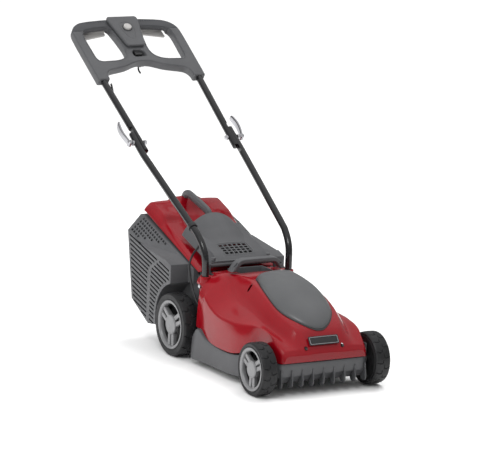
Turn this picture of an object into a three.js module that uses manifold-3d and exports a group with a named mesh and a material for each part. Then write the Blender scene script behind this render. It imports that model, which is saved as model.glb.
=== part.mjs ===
// Electric rotary lawn mower with a rear grass box and a folding handle.
// Millimetres, +Z up, front towards -Y, the operator stands at +Y.
// While it is built, Z = 0 is the ground and Y = 0 is the rear axle; the group is
// shifted at the end so that the origin is the middle of its footprint.
import * as THREE from 'three';
import { mergeVertices } from 'three/addons/utils/BufferGeometryUtils.js';
import Module from 'manifold-3d';

const wasm = await Module();
wasm.setup();

// ---------------------------------------------------------------- driving dimensions
const GAP = 0.35;                       // clearance between touching pieces
const FOOTPRINT_MIDDLE_Y = 111.4;       // the middle of the whole length, from the rear axle

const WHEELBASE = 466;
const REAR_WHEEL = { radius: 90, rim: 67.5, width: 49, outerX: 200 };
const FRONT_WHEEL = { radius: 73, rim: 57.5, width: 47, outerX: 201.4 };
const AXLE_RADIUS = 5;
const WHEEL_SIDES = 28;

const BLADE_CENTRE_Y = -280;
const BLADE_RADIUS = 165;
const BLADE_Z = 40;
const DECK_PLATE = { low: 66, high: 70, frontY: -452, rearY: -106 };
const WALL = 3;

const TUBE_RADIUS = 10;
const SOCKET = { x: 134, y: -80, top: 242, bottom: 165, radius: 15.5 };
const BEND = { x: 140, y: -49, z: 346 };
const TUBE_STEPS = 21;
const CLAMP = { y: 306, z: 554, upperX: 149, lowerX: 160, faceX: 154.5 };
const HANDLE_TILT = 32.4;               // degrees above the horizontal
const HANDLE = { low: -14, high: 12, seamU: 480, legEndU: 265, tubeTopU: 302 };

const FLAP = { pinY: -50, pinZ: 264, halfWidth: 105, rearY: 130, slope: 0.3 };
const BOX = { halfWidth: 185, lidHalfWidth: 125, frontY: -28, lidRearY: 310, lidRearZ: 352, lidSlope: 0.334 };
const CABLE_RADIUS = 3;

// ---------------------------------------------------------------- finishes
const finish = (color, roughness, metalness = 0) =>
  new THREE.MeshStandardMaterial({ color, roughness, metalness });
const FINISH = {
  red: () => finish(0xa5101d, 0.25),
  grey: () => finish(0x4b4d50, 0.55),
  coverGrey: () => finish(0x5a5c5f, 0.42),
  black: () => finish(0x141416, 0.3),
  rubber: () => finish(0x1d1d1f, 0.8),
  rim: () => finish(0x9a9b9d, 0.4, 0.2),
  lightGrey: () => finish(0x8b8a88, 0.5),
  steel: () => finish(0xc4c6c9, 0.25, 1),
  bladeSteel: () => finish(0x2c2d30, 0.4, 0.8),
};

// ---------------------------------------------------------------- geometry helpers
const V = (x, y, z) => new THREE.Vector3(x, y, z);

function outward(geometry) {
  const p = geometry.attributes.position;
  const index = geometry.index.array;
  let volume = 0;
  for (let i = 0; i < index.length; i += 3) {
    const [a, b, c] = [0, 1, 2].map((k) => V().fromBufferAttribute(p, index[i + k]));
    volume += a.dot(b.cross(c));
  }
  if (volume < 0) {
    for (let i = 0; i < index.length; i += 3) {
      [index[i], index[i + 1]] = [index[i + 1], index[i]];
    }
  }
  return geometry;
}

function solid(geometry) {
  const bare = geometry.clone();
  bare.deleteAttribute('normal');
  bare.deleteAttribute('uv');
  const merged = outward(mergeVertices(bare, 1e-4));
  return new wasm.Manifold(new wasm.Mesh({
    numProp: 3,
    vertProperties: new Float32Array(merged.attributes.position.array),
    triVerts: new Uint32Array(merged.index.array),
  }));
}

function geometryOf(manifold) {
  const mesh = manifold.getMesh();
  const geometry = new THREE.BufferGeometry();
  geometry.setAttribute('position', new THREE.BufferAttribute(new Float32Array(mesh.vertProperties), 3));
  geometry.setIndex(new THREE.BufferAttribute(new Uint32Array(mesh.triVerts), 1));
  geometry.computeVertexNormals();
  return geometry;
}

const joined = (parts) => parts.reduce((sum, part) => sum.add(part));
const without = (body, cuts) => cuts.reduce((rest, cut) => rest.subtract(cut), body);

// A block given by its limits on each axis.
const block = (x1, x2, y1, y2, z1, z2) => solid(new THREE.BoxGeometry(x2 - x1, y2 - y1, z2 - z1)
  .translate((x1 + x2) / 2, (y1 + y2) / 2, (z1 + z2) / 2));

// A round bar between two points.
function bar(from, to, radius, sides = 20, radiusTo = radius) {
  const length = from.distanceTo(to);
  const geometry = new THREE.CylinderGeometry(radiusTo, radius, length, sides);
  geometry.translate(0, length / 2, 0);
  const turn = new THREE.Quaternion().setFromUnitVectors(V(0, 1, 0), to.clone().sub(from).normalize());
  return solid(geometry.applyQuaternion(turn).translate(from.x, from.y, from.z));
}

// A prism: an outline in one plane, swept from low to high along the third axis.
function prism(outline, plane, low, high, holes = []) {
  const shape = outline instanceof THREE.Shape ? outline : new THREE.Shape(outline.map(([a, b]) => new THREE.Vector2(a, b)));
  holes.forEach((hole) => shape.holes.push(new THREE.Path(hole.map(([a, b]) => new THREE.Vector2(a, b)))));
  const geometry = new THREE.ExtrudeGeometry(shape, { depth: high - low, bevelEnabled: false, curveSegments: 6 });
  geometry.translate(0, 0, low);
  if (plane === 'yz') geometry.applyMatrix4(new THREE.Matrix4().makeBasis(V(0, 1, 0), V(0, 0, 1), V(1, 0, 0)));
  if (plane === 'xz') geometry.applyMatrix4(new THREE.Matrix4().makeBasis(V(1, 0, 0), V(0, 0, 1), V(0, -1, 0)));
  return solid(geometry);
}

// A closed skin over cross-sections that each lie in a plane of constant y.
function loft(sections) {
  const count = sections[0].points.length;
  const positions = sections.flatMap(({ y, points }) => points.flatMap(([x, z]) => [x, y, z]));
  const index = [];
  for (let s = 0; s + 1 < sections.length; s += 1) {
    for (let i = 0; i < count; i += 1) {
      const j = (i + 1) % count;
      const [a, b, c, d] = [s * count + i, s * count + j, (s + 1) * count + j, (s + 1) * count + i];
      index.push(a, b, c, a, c, d);
    }
  }
  [0, sections.length - 1].forEach((s) => {
    const flat = sections[s].points.map(([x, z]) => new THREE.Vector2(x, z));
    const flip = THREE.ShapeUtils.isClockWise(flat) ? -1 : 1;
    const caps = THREE.ShapeUtils.triangulateShape(flat, []);
    const out = (s === 0 ? 1 : -1) * flip;
    caps.forEach(([a, b, c]) => {
      const face = out > 0 ? [a, c, b] : [a, b, c];
      index.push(...face.map((k) => s * count + k));
    });
  });
  const geometry = new THREE.BufferGeometry();
  geometry.setAttribute('position', new THREE.Float32BufferAttribute(positions, 3));
  geometry.setIndex(index);
  return solid(outward(geometry));
}

const circle = (radius, sides) => {
  const shape = new THREE.Shape();
  for (let i = 0; i < sides; i += 1) {
    const a = (2 * Math.PI * i) / sides;
    shape[i ? 'lineTo' : 'moveTo'](radius * Math.cos(a), radius * Math.sin(a));
  }
  return shape;
};

// A round tube or cord along a smooth curve through the points.
function tubeAlong(points, radius, steps, sides = 16, tension = 0.5) {
  const path = new THREE.CatmullRomCurve3(points, false, 'catmullrom', tension);
  return solid(new THREE.ExtrudeGeometry(circle(radius, sides), { steps, extrudePath: path }));
}

// Straight-line interpolation in a table of [position, value, value, ...] rows.
function at(table, position) {
  const rows = [...table].sort((a, b) => a[0] - b[0]);
  const k = Math.max(1, Math.min(rows.length - 1, rows.findIndex((row) => row[0] >= position)));
  const [a, b] = [rows[k - 1], rows[k]];
  const t = THREE.MathUtils.clamp((position - a[0]) / (b[0] - a[0]), 0, 1);
  return a.slice(1).map((value, i) => value + t * (b[i + 1] - value));
}

const mirrored = (half) => [...half, ...half.filter(([x]) => x > 0).reverse().map(([x, z]) => [-x, z])];

const mower = new THREE.Group();
function piece(name, material, body, parent = mower) {
  const mesh = new THREE.Mesh(body.getMesh ? geometryOf(body) : body, material);
  mesh.name = name;
  parent.add(mesh);
  return mesh;
}
const SIDES = [['left', -1], ['right', 1]];

// ---------------------------------------------------------------- hood
// y, ridge height, ridge half width, upper crease x and z, lower crease x and z, hem x and z
const HOOD = [
  [-62, 252, 88, 100, 248, 150, 240, 164, 106],
  [-104, 257, 88, 101, 250, 160, 212, 168, 104.6],
  [-140, 260, 82, 103, 238, 165, 194, 171, 102.6],
  [-180, 262, 76, 107, 217, 168, 175, 174, 83.6],
  [-240, 260, 80, 112, 199, 170, 162, 176.5, 77.6],
  [-320, 244, 92, 118, 190, 164, 163, 175, 80],
  [-378, 222, 98, 121, 185, 149, 170, 158, 96],
  [-400, 212, 97, 122, 182, 143, 170, 145, 96],
  [-440, 196, 88, 121, 177, 138, 167, 142, 94],
  [-480, 175, 74, 114, 158, 136, 150, 141, 93],
  [-513, 132, 62, 104, 127, 128, 122, 135, 93],
  [-520, 120, 60, 100, 117, 122, 114, 128, 94],
];
const ridgeHeight = (y) => at(HOOD, y)[0];

function hoodSection([y, top, ridge, x1, z1, x2, z2, hemX, hemZ], inset) {
  const scoopX = (ridge + x1) / 2;
  const scoopZ = z1 + 0.4 * (top - 4 - z1);
  const half = [
    [0, top], [ridge, top - 4], [scoopX, scoopZ], [x1, z1], [(x1 + x2) / 2, (z1 + z2) / 2 - 2], [x2, z2], [hemX, hemZ],
  ];
  const shrunk = half.map(([x, z], i) => [
    x - inset * Math.min(1, x / x1),
    i === half.length - 1 && inset ? hemZ - 12 : z - inset,
  ]);
  return { y, points: mirrored(shrunk) };
}

const hoodMass = loft(HOOD.map((row) => hoodSection(row, 0)));
function makeHood() {
  const insideRows = HOOD.map((row) => [...row]);
  insideRows[0][0] = -40;
  insideRows[insideRows.length - 1][0] = -517;
  const inner = loft(insideRows.map((row) => hoodSection(row, WALL)));
  const bosses = SIDES.map(([, side]) => bar(
    V(side * SOCKET.x, SOCKET.y, SOCKET.bottom), V(side * SOCKET.x, SOCKET.y, SOCKET.top), SOCKET.radius, 18));
  const bores = SIDES.map(([, side]) => bar(
    V(side * SOCKET.x, SOCKET.y, SOCKET.bottom + 6), V(side * SOCKET.x, SOCKET.y, 300), TUBE_RADIUS + 2 * GAP, 18));
  const boltHoles = SIDES.map(([, side]) => bar(
    V(side * 90, SOCKET.y, 214), V(side * 190, SOCKET.y, 214), 3.4, 12));
  const aboveSockets = SIDES.map(([, side]) => bar(
    V(side * SOCKET.x, SOCKET.y, SOCKET.top), V(side * SOCKET.x, SOCKET.y, 300), SOCKET.radius + 1.5, 18));
  const pocket = block(-55, 55, -157, -107, 232, 258);
  const pocketSpace = block(-52, 52, -154, -110, 235, 300);
  const wheelRoom = SIDES.map(([, side]) => block(
    Math.min(side * 150, side * 220), Math.max(side * 150, side * 220), -98, 0, 40, 300));
  const screwHoles = SIDES.map(([, side]) => bar(V(side * 57, -530, 129), V(side * 57, -500, 129), 4, 14));
  return without(joined([hoodMass.subtract(inner), pocket, ...bosses]), [pocketSpace, ...bores, ...aboveSockets, ...boltHoles, ...screwHoles, ...wheelRoom]);
}
piece('hood_shell', FINISH.red(), makeHood());

// Domed motor cover on the ridge: y, half width, dome height
const COVER = [
  [-203, 30, 6], [-215, 50, 18], [-245, 62, 30], [-290, 73, 36], [-340, 81, 36], [-385, 82, 31],
  [-420, 73, 25], [-450, 54, 18], [-470, 34, 11], [-482, 12, 4],
];
function makeCover() {
  const arch = 8;
  return loft(COVER.map(([y, half, rise]) => {
    const low = ridgeHeight(y) - 2;
    const points = [[-half, low]];
    for (let i = 0; i <= arch; i += 1) {
      const a = Math.PI * (1 - i / arch);
      points.push([half * Math.cos(a), low + 4 + rise * Math.sin(a) ** 0.8]);
    }
    points.push([half, low]);
    return { y, points };
  })).subtract(hoodMass.translate([0, 0, 0.8]));
}
piece('motor_cover', FINISH.coverGrey(), makeCover());

// Blank name plate, lying on the sloping nose
const plate = new THREE.BoxGeometry(94, 2.2, 26).rotateX(THREE.MathUtils.degToRad(-33)).translate(0, -508, 147);
piece('badge_plate', FINISH.black(), solid(plate));

SIDES.forEach(([name, side]) => {
  piece(`hood_screw_${name}`, FINISH.steel(),
    joined([bar(V(side * 57, -514, 129), V(side * 57, -502, 129), 3.4, 12), bar(V(side * 57, -516.6, 129), V(side * 57, -514, 129), 3.4, 12)]));
});

// Carrying handle behind the cover
function makeCarryHandle() {
  const outline = [[-86, 262.6], [-62, 262.6], [-50, 276], [50, 276], [62, 262.6], [86, 262.6], [80, 276], [64, 292], [48, 297], [-48, 297], [-64, 292], [-80, 276]];
  return prism(outline, 'xz', 118, 146);
}
piece('carry_handle', FINISH.grey(), makeCarryHandle());

// ---------------------------------------------------------------- deck base
// y, half width, lower edge, upper edge of the skirt
const SKIRT = [
  [-104, 166, 20, 104], [-140, 170, 20, 102], [-180, 174, 20, 83], [-220, 176, 20, 77], [-280, 177.5, 20, 75],
  [-340, 174, 22, 79], [-370, 160, 24, 90], [-384, 148, 26, 92], [-398, 142, 40, 92], [-440, 141, 50, 92],
  [-480, 141, 50, 92], [-500, 139, 50, 92], [-513, 128, 52, 92],
];
const COMB = { count: 9, from: -132, to: 132, thickness: 3 };

function makeDeckBase() {
  const outer = loft(SKIRT.map(([y, half, low, high]) => ({
    y, points: [[-half - 2, low], [-half, high - GAP], [half, high - GAP], [half + 2, low]],
  })));
  const inner = loft([[-60, ...SKIRT[0].slice(1)], ...SKIRT.slice(0, -1), [-508, 124, 52, 92]].map(([y, half, low, high]) => ({
    y, points: [[-half + 2, low - 20], [-half + 4, high + 20], [half - 4, high + 20], [half - 2, low - 20]],
  })));
  const skirt = outer.subtract(inner);

  const plateOutline = [
    ...SKIRT.filter(([y]) => y > DECK_PLATE.frontY).map(([y, half]) => [half - 1, y]),
    [139, DECK_PLATE.frontY], [-139, DECK_PLATE.frontY],
    ...SKIRT.filter(([y]) => y > DECK_PLATE.frontY).reverse().map(([y, half]) => [-half + 1, y]),
  ];
  const deckPlate = prism(plateOutline, 'xy', DECK_PLATE.low, DECK_PLATE.high);
  const baffle = block(-140, 140, DECK_PLATE.frontY, DECK_PLATE.frontY + 4, 28, DECK_PLATE.high);
  const rearWalls = SIDES.map(([, side]) => block(
    Math.min(side * 104, side * 160), Math.max(side * 104, side * 160), DECK_PLATE.rearY - 2, DECK_PLATE.rearY + 2, 24, 150));

  // Rising duct from the blade chamber to the grass box
  const ductSide = [[-170, 66], [-106, 24], [-60, 112], [-34, 118], [-34, 240], [-100, 240], [-170, 120]];
  const ductSpace = [[-172, 60], [-112, 30], [-66, 116], [-20, 122], [-20, 236], [-98, 236], [-166, 118]];
  const duct = prism(ductSide, 'yz', -104, 104).subtract(prism(ductSpace, 'yz', -101, 101));

  const mouths = prism([[-165, 50], [-112, 50], [-112, 80], [-165, 80]], 'yz', -101, 101);
  const rearArms = SIDES.map(([, side]) => block(
    Math.min(side * 115, side * 146), Math.max(side * 115, side * 146), -110, 16, 72, 110));
  const armTies = SIDES.map(([, side]) => block(
    Math.min(side * 102, side * 118), Math.max(side * 102, side * 118), -108, -62, 76, 108));
  const pinEars = SIDES.map(([, side]) => prism(
    [[-61, 200], [-34, 200], [-40, 270], [-60, 270]], 'yz', Math.min(side * 107, side * 112), Math.max(side * 107, side * 112)));
  const earTies = SIDES.map(([, side]) => block(
    Math.min(side * 102, side * 109), Math.max(side * 102, side * 109), -62, -36, 200, 238));
  const motorSeat = bar(V(0, BLADE_CENTRE_Y, DECK_PLATE.high - 1), V(0, BLADE_CENTRE_Y, 78), 62, 20);

  const toothOutline = [[-509, 60], [-512, 52], [-517, 44], [-520, 34], [-519, 27], [-510, 24], [-498, 26], [-490, 40], [-488, 60]];
  const teeth = [];
  for (let i = 0; i < COMB.count; i += 1) {
    const x = COMB.from + (i * (COMB.to - COMB.from)) / (COMB.count - 1);
    teeth.push(prism(toothOutline, 'yz', x - COMB.thickness / 2, x + COMB.thickness / 2));
  }
  const combBack = prism([[-510, 60], [-500, 42], [-488, 32], [-484, 35], [-497, 46], [-505, 60]], 'yz', -133, 133);

  const axleHoles = [
    bar(V(-180, -WHEELBASE, FRONT_WHEEL.radius), V(180, -WHEELBASE, FRONT_WHEEL.radius), AXLE_RADIUS + GAP, 16),
    bar(V(-180, 0, REAR_WHEEL.radius), V(180, 0, REAR_WHEEL.radius), AXLE_RADIUS + GAP, 16),
    bar(V(-120, FLAP.pinY, FLAP.pinZ), V(120, FLAP.pinY, FLAP.pinZ), 3 + GAP, 12),
    bar(V(0, BLADE_CENTRE_Y, 20), V(0, BLADE_CENTRE_Y, 120), 12, 20),
  ];
  return without(
    joined([skirt, deckPlate, baffle, ...rearWalls, ...teeth, combBack, motorSeat, ...rearArms]).subtract(mouths)
      .add(joined([duct, ...armTies, ...earTies, ...pinEars])),
    axleHoles);
}
piece('deck_base', FINISH.grey(), makeDeckBase());

// Grey brackets beside the front wheels, which hold the height-setting axle
SIDES.forEach(([name, side]) => {
  const bracket = prism([[-492, 54], [-440, 54], [-440, 96], [-470, 122], [-492, 122]], 'yz',
    Math.min(side * 144.5, side * 149), Math.max(side * 144.5, side * 149));
  const hole = bar(V(-200, -WHEELBASE, FRONT_WHEEL.radius), V(200, -WHEELBASE, FRONT_WHEEL.radius), AXLE_RADIUS + GAP, 16);
  piece(`axle_bracket_${name}`, FINISH.grey(), bracket.subtract(hole));
});

// ---------------------------------------------------------------- axles and wheels
piece('front_axle', FINISH.steel(), bar(
  V(-192, -WHEELBASE, FRONT_WHEEL.radius), V(192, -WHEELBASE, FRONT_WHEEL.radius), AXLE_RADIUS, 16));
piece('rear_axle', FINISH.steel(), bar(V(-191, 0, REAR_WHEEL.radius), V(191, 0, REAR_WHEEL.radius), AXLE_RADIUS, 16));

// Lathe profiles run in (radius, distance out from the inner face).
function turned(profile, centre, side, sides) {
  const geometry = new THREE.LatheGeometry(profile.map(([r, a]) => new THREE.Vector2(r, a)), sides);
  geometry.rotateY(Math.PI / sides);
  geometry.rotateZ(-Math.PI / 2);
  if (side < 0) geometry.rotateY(Math.PI);
  return solid(geometry.translate(centre.x, centre.y, centre.z));
}

// The tyres have a flat facet at the bottom, at their true radius, to stand on.
function makeWheel(label, size, y, side) {
  const { radius, rim, width, outerX } = size;
  const crown = radius / Math.cos(Math.PI / WHEEL_SIDES);
  const innerFace = V(side * (outerX - width), y, radius);
  const shoulder = radius * 0.96;
  const tyre = turned([
    [rim + GAP, 3], [shoulder - 4, 0], [shoulder, 3], [crown, width * 0.33], [crown, width * 0.67],
    [shoulder, width - 3], [shoulder - 4, width], [rim + GAP, width - 1], [rim + GAP, 3],
  ], innerFace, side, WHEEL_SIDES);
  piece(`tyre_${label}`, FINISH.rubber(), tyre);

  const hubRadius = rim * 0.36;
  const ring = turned([
    [rim - 4, 5], [rim - 0.2, 5], [rim - 0.2, width - 1], [rim - 6, width - 0.6], [rim - 8, width / 2], [rim - 4, 5],
  ], innerFace, side, WHEEL_SIDES);
  const hub = turned([
    [AXLE_RADIUS + 0.5, 3], [13, 3], [13, width * 0.5], [hubRadius, width * 0.62], [hubRadius, width - 9],
    [AXLE_RADIUS + 0.5, width - 9], [AXLE_RADIUS + 0.5, 3],
  ], innerFace, side, 12);
  const spokes = [];
  for (let i = 0; i < 3; i += 1) {
    const turn = (i * 2 * Math.PI) / 3 + Math.PI / 2;
    [-1, 1].forEach((twin) => {
      const spoke = new THREE.BoxGeometry(width * 0.3, rim - 6 - hubRadius * 0.5, rim * 0.15);
      spoke.translate(0, (rim - 6 + hubRadius * 0.5) / 2, twin * rim * 0.13).rotateX(turn);
      spokes.push(solid(spoke.translate(side * (outerX - 9.2 - width * 0.15), y, radius)));
    });
  }
  const axleWay = bar(V(side * 100, y, radius), V(side * 230, y, radius), AXLE_RADIUS + 0.5, 16);
  piece(`rim_${label}`, FINISH.rim(), joined([ring, hub, ...spokes]).subtract(axleWay));
  piece(`hub_cap_${label}`, FINISH.rim(), turned([
    [0, width - 8.4], [hubRadius - 1, width - 8.4], [hubRadius - 1, width - 3.5], [hubRadius - 3.5, width - 1.6], [0, width - 1],
  ], innerFace, side, 16));
}
SIDES.forEach(([name, side]) => {
  makeWheel(`front_${name}`, FRONT_WHEEL, -WHEELBASE, side);
  makeWheel(`rear_${name}`, REAR_WHEEL, 0, side);
});

// ---------------------------------------------------------------- motor and blade
const onSpindle = (z) => V(0, BLADE_CENTRE_Y, z);
function makeMotor() {
  const can = bar(onSpindle(78.4), onSpindle(200), 52, 24);
  const crown = bar(onSpindle(200), onSpindle(226), 44, 24, 30);
  const core = bar(onSpindle(60), onSpindle(206), 7.5, 20);
  return without(can.add(crown), [core]);
}
piece('motor_body', FINISH.black(), makeMotor());
piece('motor_shaft', FINISH.steel(), bar(onSpindle(34), onSpindle(204), 6, 20));

function makeFan() {
  const hub = bar(onSpindle(BLADE_Z + 2.4), onSpindle(60), 20, 24);
  const disc = bar(onSpindle(BLADE_Z + 12), onSpindle(BLADE_Z + 15), 58, 24);
  const vanes = [];
  for (let i = 0; i < 8; i += 1) {
    const vane = new THREE.BoxGeometry(36, 2.5, 11).translate(36, 0, BLADE_Z + 8);
    vanes.push(solid(vane.rotateZ((i * Math.PI) / 4).translate(0, BLADE_CENTRE_Y, 0)));
  }
  return joined([hub, disc, ...vanes]).subtract(bar(onSpindle(20), onSpindle(80), 6.3, 20));
}
piece('blade_fan', FINISH.grey(), makeFan());

function makeBlade() {
  const outline = [
    [-BLADE_RADIUS, -20], [-110, -24], [110, -22], [BLADE_RADIUS - 6, -12],
    [BLADE_RADIUS, 20], [110, 24], [-110, 22], [-BLADE_RADIUS + 6, 12],
  ].map(([x, y]) => [x, y + BLADE_CENTRE_Y]);
  return prism(outline, 'xy', BLADE_Z - 1.5, BLADE_Z + 1.5).subtract(bar(onSpindle(20), onSpindle(60), 6.4, 20));
}
piece('blade', FINISH.bladeSteel(), makeBlade());
piece('blade_bolt', FINISH.steel(), bar(onSpindle(26), onSpindle(33.6), 10, 6)
  .add(bar(onSpindle(33), onSpindle(33.65), 14, 24)).add(bar(onSpindle(33.3), onSpindle(BLADE_Z - 1.9), 14, 24)
    .subtract(bar(onSpindle(33.3), onSpindle(60), 6.4, 20))));

// ---------------------------------------------------------------- flap over the discharge
function makeFlap() {
  const plateTop = (y) => FLAP.pinZ + 21 + FLAP.slope * (y - FLAP.pinY);
  const domeRise = [[-60, 0, 30], [10, 0, 40], [40, 8, 52], [80, 22, 62], [115, 33, 70], [130, 35, 71]];
  const section = (y, lift) => {
    const [rise, half] = at(domeRise, y);
    const front = THREE.MathUtils.clamp((y - FLAP.pinY) / 30, 0, 1);
    const drop = 10 * (1 - front);
    const top = plateTop(y) - drop;
    const outer = [[0, top + rise], [half * 0.5, top + rise * 0.78], [half * 0.8, top + rise * 0.35], [half, top],
      [80, top - 2], [88, top - 8], [FLAP.halfWidth, top - 24 * front - 8 * (1 - front)]];
    const under = outer.map(([x, z]) => [Math.max(0, x - (x > 84 ? 2.5 : 0)), z - lift]).reverse();
    const right = [...outer, ...under];
    const left = right.filter(([x]) => x > 0).reverse().map(([x, z]) => [-x, z]);
    return { y, points: [...right.slice(0, outer.length), ...under.slice(0, -1), [0, under[under.length - 1][1]], ...left.slice(0, outer.length - 1), ...left.slice(outer.length - 1)] };
  };
  const stations = [-50, -38, -20, 10, 40, 65, 90, 115, FLAP.rearY];
  const halfRing = (y) => {
    const full = section(y, 3).points;
    return { y, points: full };
  };
  const shell = loft(stations.map(halfRing));
  const barrel = bar(V(-104, FLAP.pinY, FLAP.pinZ), V(104, FLAP.pinY, FLAP.pinZ), 6, 20);
  const web = block(-100, 100, FLAP.pinY - 3, FLAP.pinY + 2, FLAP.pinZ, FLAP.pinZ + 9.5);
  const windows = [];
  for (let column = 0; column < 5; column += 1) {
    for (let row = 0; row < 3; row += 1) {
      const x = -38 + column * 19;
      const y = -26 + row * 16;
      windows.push(block(x - 6, x + 6, y - 5, y + 5, 240, 330));
    }
  }
  return without(joined([shell, barrel, web]), [...windows,
    bar(V(-130, FLAP.pinY, FLAP.pinZ), V(130, FLAP.pinY, FLAP.pinZ), 3.3, 12)]);
}
piece('rear_flap', FINISH.grey(), makeFlap());
piece('flap_pin', FINISH.steel(), bar(V(-112, FLAP.pinY, FLAP.pinZ), V(112, FLAP.pinY, FLAP.pinZ), 3, 12));

// ---------------------------------------------------------------- grass box
const lidEdge = (y) => BOX.lidRearZ - BOX.lidSlope * (BOX.lidRearY - y);

// The box outline seen from the side, drawn in by the given inset on every edge
function inwards(outline, inset) {
  const count = outline.length;
  const edges = outline.map(([y, z], i) => {
    const [y2, z2] = outline[(i + 1) % count];
    const length = Math.hypot(y2 - y, z2 - z);
    const normal = [-(z2 - z) / length, (y2 - y) / length];
    return { point: [y + inset * normal[0], z + inset * normal[1]], along: [y2 - y, z2 - z] };
  });
  return outline.map((_, i) => {
    const a = edges[(i + count - 1) % count];
    const b = edges[i];
    const cross = a.along[0] * b.along[1] - a.along[1] * b.along[0];
    const t = ((b.point[0] - a.point[0]) * b.along[1] - (b.point[1] - a.point[1]) * b.along[0]) / cross;
    return [a.point[0] + t * a.along[0], a.point[1] + t * a.along[1]];
  });
}

function boxMass(inset) {
  const sideView = inwards([
    [BOX.frontY, 124], [30, 110], [112, 64], [157, 57], [262, 108], [298, 300], [BOX.lidRearY, 344],
    [BOX.frontY, lidEdge(BOX.frontY) - 4],
  ], inset);
  const core = prism(sideView, 'yz', -BOX.halfWidth + inset, BOX.halfWidth - inset);
  const cuts = [];
  SIDES.forEach(([, side]) => {
    const reach = (a, b) => [Math.min(side * a, side * b), Math.max(side * a, side * b)];
    // sloping shoulder between the lid and the side
    cuts.push(loft([[-60, 300], [65, 300], [65.5, 262], [330, 312]].map(([y, z], i) => {
      const lidX = BOX.lidHalfWidth + 3 - inset;
      const lidZ = i < 2 ? 300 : lidEdge(y) - inset;
      const sideZ = i < 2 ? 300 : z - inset;
      return { y, points: [[side * lidX, lidZ], [side * 220, sideZ - 0.58 * (lidZ - sideZ)], [side * 220, 420], [side * lidX, 420]] };
    })));
    cuts.push(prism(circle(114 + inset, 36), 'yz', ...reach(110 - inset, 220)).translate([0, 0, REAR_WHEEL.radius]));
    cuts.push(block(...reach(112 - inset, 220), -60, 0 + inset, 40, 330));
    cuts.push(block(...reach(128 - inset, 220), -60, 30 + inset, 40, 330));
  });
  return without(core, cuts);
}

function makeBoxBody() {
  const shell = boxMass(0).subtract(boxMass(WALL));
  const mouth = block(-100, 100, -60, 0, 132, 222);
  const lidOpening = prism([[-10, lidEdge(-10) - 20], [292, lidEdge(292) - 20], [292, 400], [-10, 400]], 'yz', -112, 112);
  return without(shell, [mouth, lidOpening]);
}
piece('grass_box_body', FINISH.grey(), makeBoxBody());

// y, rise of the outer crest, rise of the middle, above the lid's edge
const LID = [
  [-22, 6, 9], [40, 9, 14], [120, 12, 12], [150, 14, 8], [205, 18, 8], [224, 33, 10], [262, 33, 12], [285, 32, 30], [305, 28, 34], [318, 12, 14],
];
function lidSection([y, crest, middle], inset) {
  const edge = lidEdge(Math.min(y, BOX.lidRearY));
  const low = edge - (inset ? 12 : 0);
  const half = [[0, edge + middle - inset], [34, edge + middle - inset], [52, edge + crest * 0.9 - inset], [84, edge + crest + 1 - inset],
    [110, edge + crest - 2 - inset], [121 - inset * 0.8, edge + crest * 0.4 - inset * 0.5], [BOX.lidHalfWidth - inset, low]];
  return { y, points: mirrored(half) };
}
function makeLid() {
  const rows = LID.map((row) => [...row]);
  const outer = loft(rows.map((row) => lidSection(row, 0)));
  const insideRows = LID.map(([y, crest, middle], i) => [y + (i === 0 ? WALL : 0) - (i === LID.length - 1 ? WALL : 0), crest, middle]);
  const inner = loft(insideRows.map((row) => lidSection(row, WALL)));
  return outer.subtract(inner);
}
piece('grass_box_lid', FINISH.red(), makeLid());

// Arched lifting handle on the lid
function makeBoxHandle() {
  const path = new THREE.CatmullRomCurve3([
    V(0, 303, 388), V(0, 292, 397), V(0, 272, 399), V(0, 235, 391), V(0, 190, 380), V(0, 160, 371), V(0, 148, 355), V(0, 146, 330),
  ], false, 'catmullrom', 0.5);
  const section = new THREE.Shape();
  section.absellipse(0, 0, 6.5, 13, 0, 2 * Math.PI, false, 0);
  const arch = solid(new THREE.ExtrudeGeometry(new THREE.Shape(section.getPoints(4)), { steps: 26, extrudePath: path }));
  const foot = bar(V(0, 146, 306), V(0, 146, 334), 9, 16);
  return arch.add(foot);
}
const boxHandle = makeBoxHandle();
piece('grass_box_handle', FINISH.grey(), boxHandle.subtract(loft(
  LID.map((row) => lidSection(row, 0)).map(({ y, points }) => ({ y, points: points.map(([x, z]) => [x, z + GAP]) })))));

// ---------------------------------------------------------------- lower handle tubes
const tilt = THREE.MathUtils.degToRad(HANDLE_TILT);
const alongHandle = (x, u, w = 0) => V(
  x, CLAMP.y + u * Math.cos(tilt) - w * Math.sin(tilt), CLAMP.z + u * Math.sin(tilt) + w * Math.cos(tilt));

function lowerTubePoints(side) {
  const start = V(side * SOCKET.x, SOCKET.y, SOCKET.bottom + 7);
  const lowEnd = V(side * (SOCKET.x + 1), SOCKET.y + 1, 285);
  const highStart = V(side * 141.5, -22, 362);
  const nearClamp = alongHandle(side * CLAMP.lowerX, -60);
  const end = alongHandle(side * CLAMP.lowerX, 38);
  const bend = new THREE.CubicBezierCurve3(
    lowEnd, V(side * (SOCKET.x + 2), SOCKET.y + 2, 318), V(side * BEND.x, BEND.y, BEND.z), highStart);
  return [start, V(side * SOCKET.x, SOCKET.y, 235), ...bend.getPoints(4), nearClamp, end];
}

function makeLowerTube(side) {
  const tube = tubeAlong(lowerTubePoints(side), TUBE_RADIUS, TUBE_STEPS, 12, 0.25);
  const inner = side * (CLAMP.faceX + 0.2);
  const flat = block(Math.min(0, inner), Math.max(0, inner), 240, 380, 480, 640);
  const hole = bar(V(side * 120, CLAMP.y, CLAMP.z), V(side * 200, CLAMP.y, CLAMP.z), 3.4, 12);
  const socketHole = bar(V(side * 90, SOCKET.y, 214), V(side * 190, SOCKET.y, 214), 3.4, 12);
  return without(tube, [flat, hole, socketHole]);
}

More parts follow.
